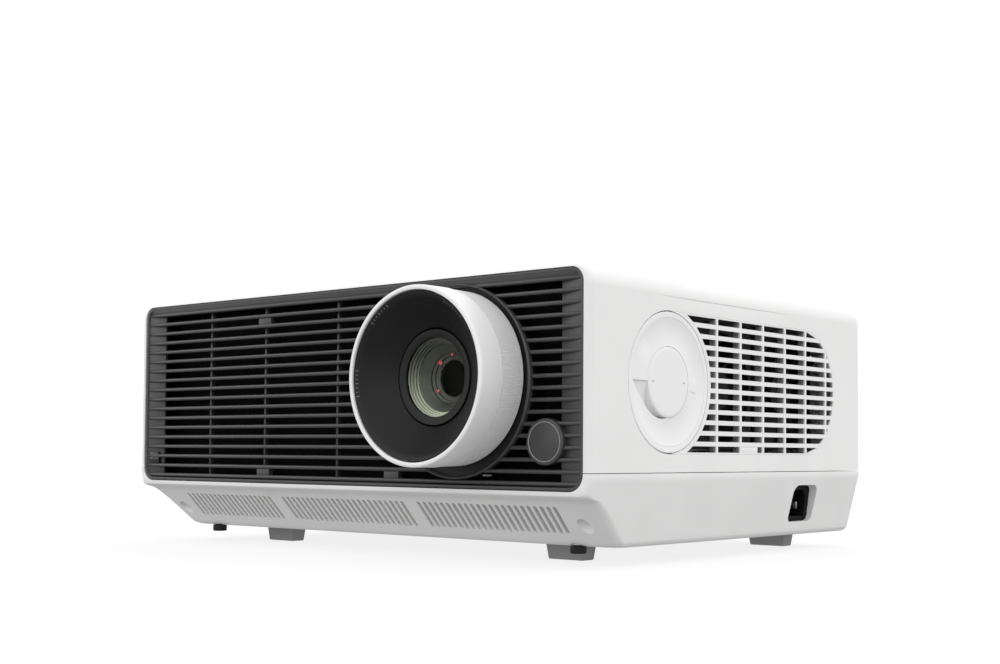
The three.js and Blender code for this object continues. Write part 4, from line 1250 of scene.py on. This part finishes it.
def hood_ticks():
    """Three short scales of generic ticks on the hood's outer bevel."""
    shapes = []
    for middle in TICK_GROUPS:
        for index in range(TICK_COUNT):
            angle = math.radians(middle + (index - (TICK_COUNT - 1) / 2) * TICK_STEP)
            radial = Vector((math.cos(angle), 0, math.sin(angle)))
            inward = (-radial * 2.7 + Vector((0, 1.8, 0))).normalized()
            across = Vector((-math.sin(angle), 0, math.cos(angle)))
            facing = across.cross(inward)
            if facing.y > 0:
                facing = -facing
            centre = Vector((LENS.x, RING_FRONT + 1.6, LENS.z)) + radial * 42.75
            turn = Matrix((across, inward, facing)).transposed().to_4x4()
            length = 0.8 if index % 3 == 0 else 0.5
            tick = block(-0.16, 0.16, -length, length, -0.05, 0.03)
            shapes.append(moved(tick, Matrix.Translation(centre) @ turn))
    return joined(shapes)


piece("hood_ticks", hood_ticks(), PRINT, "lens")


def carry_over(node, material):
    """A CAD node that keeps its shape gets its finished material."""
    obj = frame["nodes"][node]
    obj.data.materials.clear()
    obj.data.materials.append(material)


# ---- Power inlet ----


CAVITY_END = 158.0
BLADE_TIP = 173.5


def build_inlet():
    """The opening's tunnel wall, the socket's body with its cavity, and three blades."""
    centre = node_centre("ac_inlet")
    tunnel = raw_object("inlet_tunnel", prism(inlet_outline(1.2), "x", INLET_FACE - 1, HALF_WIDTH + 2))
    heights = [BOTTOM + BOTTOM_RADIUS + i * 2 for i in range(16)]
    cut(tunnel, [loft([case_loop(z, 0.15) for z in heights])], keep=True)
    cut(tunnel, [prism(inlet_outline(0.02), "x", INLET_FACE - 3, HALF_WIDTH + 4)])
    finish_piece(tunnel, WHITE_FINE)
    outer = rounded_rectangle(INLET_LOW.y, INLET_HIGH.y + SOCKET_REAR, INLET_LOW.z, INLET_HIGH.z, 3.5)
    back = [(INLET_LOW.x, y, z) for y, z in outer]
    face = []
    for y, z in outer:
        share = (z - INLET_LOW.z) / (INLET_HIGH.z - INLET_LOW.z)
        inset = SOCKET_INSETS[0] + (SOCKET_INSETS[1] - SOCKET_INSETS[0]) * share
        face.append((side_x(z) - inset, y, z))
    body = raw_object("inlet_body", loft([back, face]))
    cavity = [
        (centre.y - 11, centre.z - 8), (centre.y + 11, centre.z - 8), (centre.y + 11, centre.z + 3.5),
        (centre.y + 7, centre.z + 8), (centre.y - 7, centre.z + 8), (centre.y - 11, centre.z + 3.5),
    ]
    cut(body, [prism(cavity, "x", CAVITY_END, HALF_WIDTH + 4)])
    soften(body, 0.5, 3)
    finish_piece(body, SOCKET_BLACK, stands_for=("ac_inlet",))
    blades = []
    for side, rise in ((-7, -1.5), (0, 2.5), (7, -1.5)):
        y, z = centre.y + side, centre.z + rise
        blades.append(block(CAVITY_END - 1, BLADE_TIP, y - 1, y + 1, z - 2.2, z + 2.2))
    piece("inlet_blades", joined(blades), STEEL, soft=0.4)


build_inlet()


# ---- Feet ----


def foot_shape(node, shift, widen):
    """A block foot, drafted towards the table, with rounded corners and a slightly crowned rim."""
    low, high = node_box(node)
    cx, cy = (low.x + high.x) / 2 + shift, (low.y + high.y) / 2
    half_x, half_y = (high.x - low.x) / 2 + widen, (high.y - low.y) / 2
    loops = []
    for share, inset in ((0, 0.4), (0.03, 0.1), (0.06, 0.0), (1.0, 0.0)):
        draft = 0.88 + 0.12 * share
        x, y = half_x * draft - inset, half_y * draft - inset
        outline = rounded_rectangle(cx - x, cx + x, cy - y, cy + y, 0.9, steps=6)
        loops.append([(px, py, low.z + (high.z - low.z) * share) for px, py in outline])
    return loft(loops)


# How far each foot is moved along x, and how much wider it is than its node on each side.
FOOT_FIT = {
    "front_left": (0, 0.4),
    "front_right": (0, 1.2),
    "rear_left": (1.3, 1.4),
    "rear_right": (-1.3, 1.4),
}

for place_name, (shift, widen) in FOOT_FIT.items():
    node = f"foot_{place_name}"
    pad = foot_shape(node, shift, widen)
    piece(f"pad_{place_name}", pad, GREY_RUBBER, stands_for=(node,))

TIP_TOP = 10.3  # the tip's flat top just meets the rounded lower edge of the nose

for side in ("left", "right"):
    node = f"adjust_foot_{side}"
    low, high = node_box(node)
    middle = (low + high) / 2
    radius = (high.x - low.x) / 2
    profile = [
        (0, low.z), (radius - 0.8, low.z), (radius - 0.2, low.z + 0.25), (radius, low.z + 0.9),
        (radius, TIP_TOP - 0.2), (radius - 0.2, TIP_TOP), (0, TIP_TOP),
    ]
    piece(f"foot_tip_{side}", turned(profile, "z", middle.x, middle.y, 64), BLACK,
          body=f"foot_tip_{side}", stands_for=(node,))
    carry_over(f"adjust_stud_{side}", STEEL)


# ---- Rear panel and inner parts ----

MATERIAL_OF = {
    "white_plastic": WHITE,
    "charcoal_plastic": CHARCOAL,
    "black_plastic": BLACK,
    "grey_rubber": GREY_RUBBER,
    "optical_glass": GLASS,
    "infrared_window": WINDOW,
    "aluminium": ALUMINIUM,
    "magnesium": CAST,
    "steel": STEEL,
    "circuit_board": BOARD,
    "phosphor": PHOSPHOR,
}
for entry in frame["record"]["subparts"]:
    if entry["node"] not in drawn_nodes:
        carry_over(entry["node"], MATERIAL_OF[entry["material_slot"]])
carry_over("dust_mesh", BLACK_MESH_AND_SHADE)


# ---- Studio ----


def build_floor():
    """A plain pale floor, lit but not thrown back onto the object."""
    size = 9000
    floor = raw_object("floor", ([(-size, -size, 0), (size, -size, 0), (size, size, 0), (-size, size, 0)],
                                 [(0, 1, 2, 3)]))
    material, nodes, links, shader = start_material("pale_floor")
    broad = noise(nodes, links, 3, 2)
    links.new(ramp(nodes, links, broad, grey(0.19), grey(0.2)), shader.inputs["Base Color"])
    shader.inputs["Emission Color"].default_value = (1, 1, 1, 1)
    shader.inputs["Emission Strength"].default_value = 0.79
    shader.inputs["Roughness"].default_value = 0.9
    shader.inputs["Specular IOR Level"].default_value = 0.0
    floor.data.materials.append(material)
    floor.visible_diffuse = False
    floor.visible_glossy = False
    floor.visible_transmission = False


# The sky's brightness from straight down (0) over the horizon (0.5) to straight up (1).
SKY = [(0.0, 0.42), (0.47, 0.5), (0.5, 1.35), (0.7, 1.45), (1.0, 1.15)]
SKY_STRENGTH = 2.0


def build_world():
    """Soft light all round: strongest a little above the horizon, weaker from below."""
    world = bpy.data.worlds.new("studio")
    bpy.context.scene.world = world
    world.use_nodes = True
    nodes = world.node_tree.nodes
    links = world.node_tree.links
    background = nodes["Background"]
    scale = nodes.new("ShaderNodeValToRGB")
    elements = scale.color_ramp.elements
    while len(elements) < len(SKY):
        elements.new(0.5)
    for element, (position, value) in zip(elements, SKY):
        element.position = position
        element.color = (*grey(value / SKY_STRENGTH), 1)
    height = spread(nodes, links, height_in(nodes, links, "Generated"), 0, 1, -1, 1)
    links.new(height, scale.inputs["Fac"])
    links.new(scale.outputs["Color"], background.inputs["Color"])
    background.inputs["Strength"].default_value = SKY_STRENGTH


CAMERA_PLACE = (0.606, -0.6924, 0.0592)  # in metres
CAMERA_ANGLES = (40.403, 2.397, 0.399)  # yaw, pitch and roll, in degrees
FOCAL_LENGTH = 51.36
FRAME_SHIFT = 0.0607


def build_camera():
    """Low, in front of the right corner, with the horizon below the middle of the picture."""
    yaw, pitch, roll = (math.radians(angle) for angle in CAMERA_ANGLES)
    forward = Vector((-math.sin(yaw) * math.cos(pitch), math.cos(yaw) * math.cos(pitch), math.sin(pitch)))
    level = Vector((math.cos(yaw), math.sin(yaw), 0))
    upright = level.cross(forward)
    right = math.cos(roll) * level + math.sin(roll) * upright
    up = right.cross(forward)
    camera_data = bpy.data.cameras.new("camera")
    camera_data.sensor_width = 36.0
    camera_data.lens = FOCAL_LENGTH
    camera_data.shift_y = FRAME_SHIFT
    camera_data.clip_end = 100
    camera = bpy.data.objects.new("camera", camera_data)
    bpy.context.scene.collection.objects.link(camera)
    turn = Matrix((right, up, -forward)).transposed().to_4x4()
    camera.matrix_world = Matrix.Translation(Vector(CAMERA_PLACE)) @ turn
    bpy.context.scene.camera = camera


build_floor()
build_world()
build_camera()
bpy.context.scene.view_settings.view_transform = "Standard"
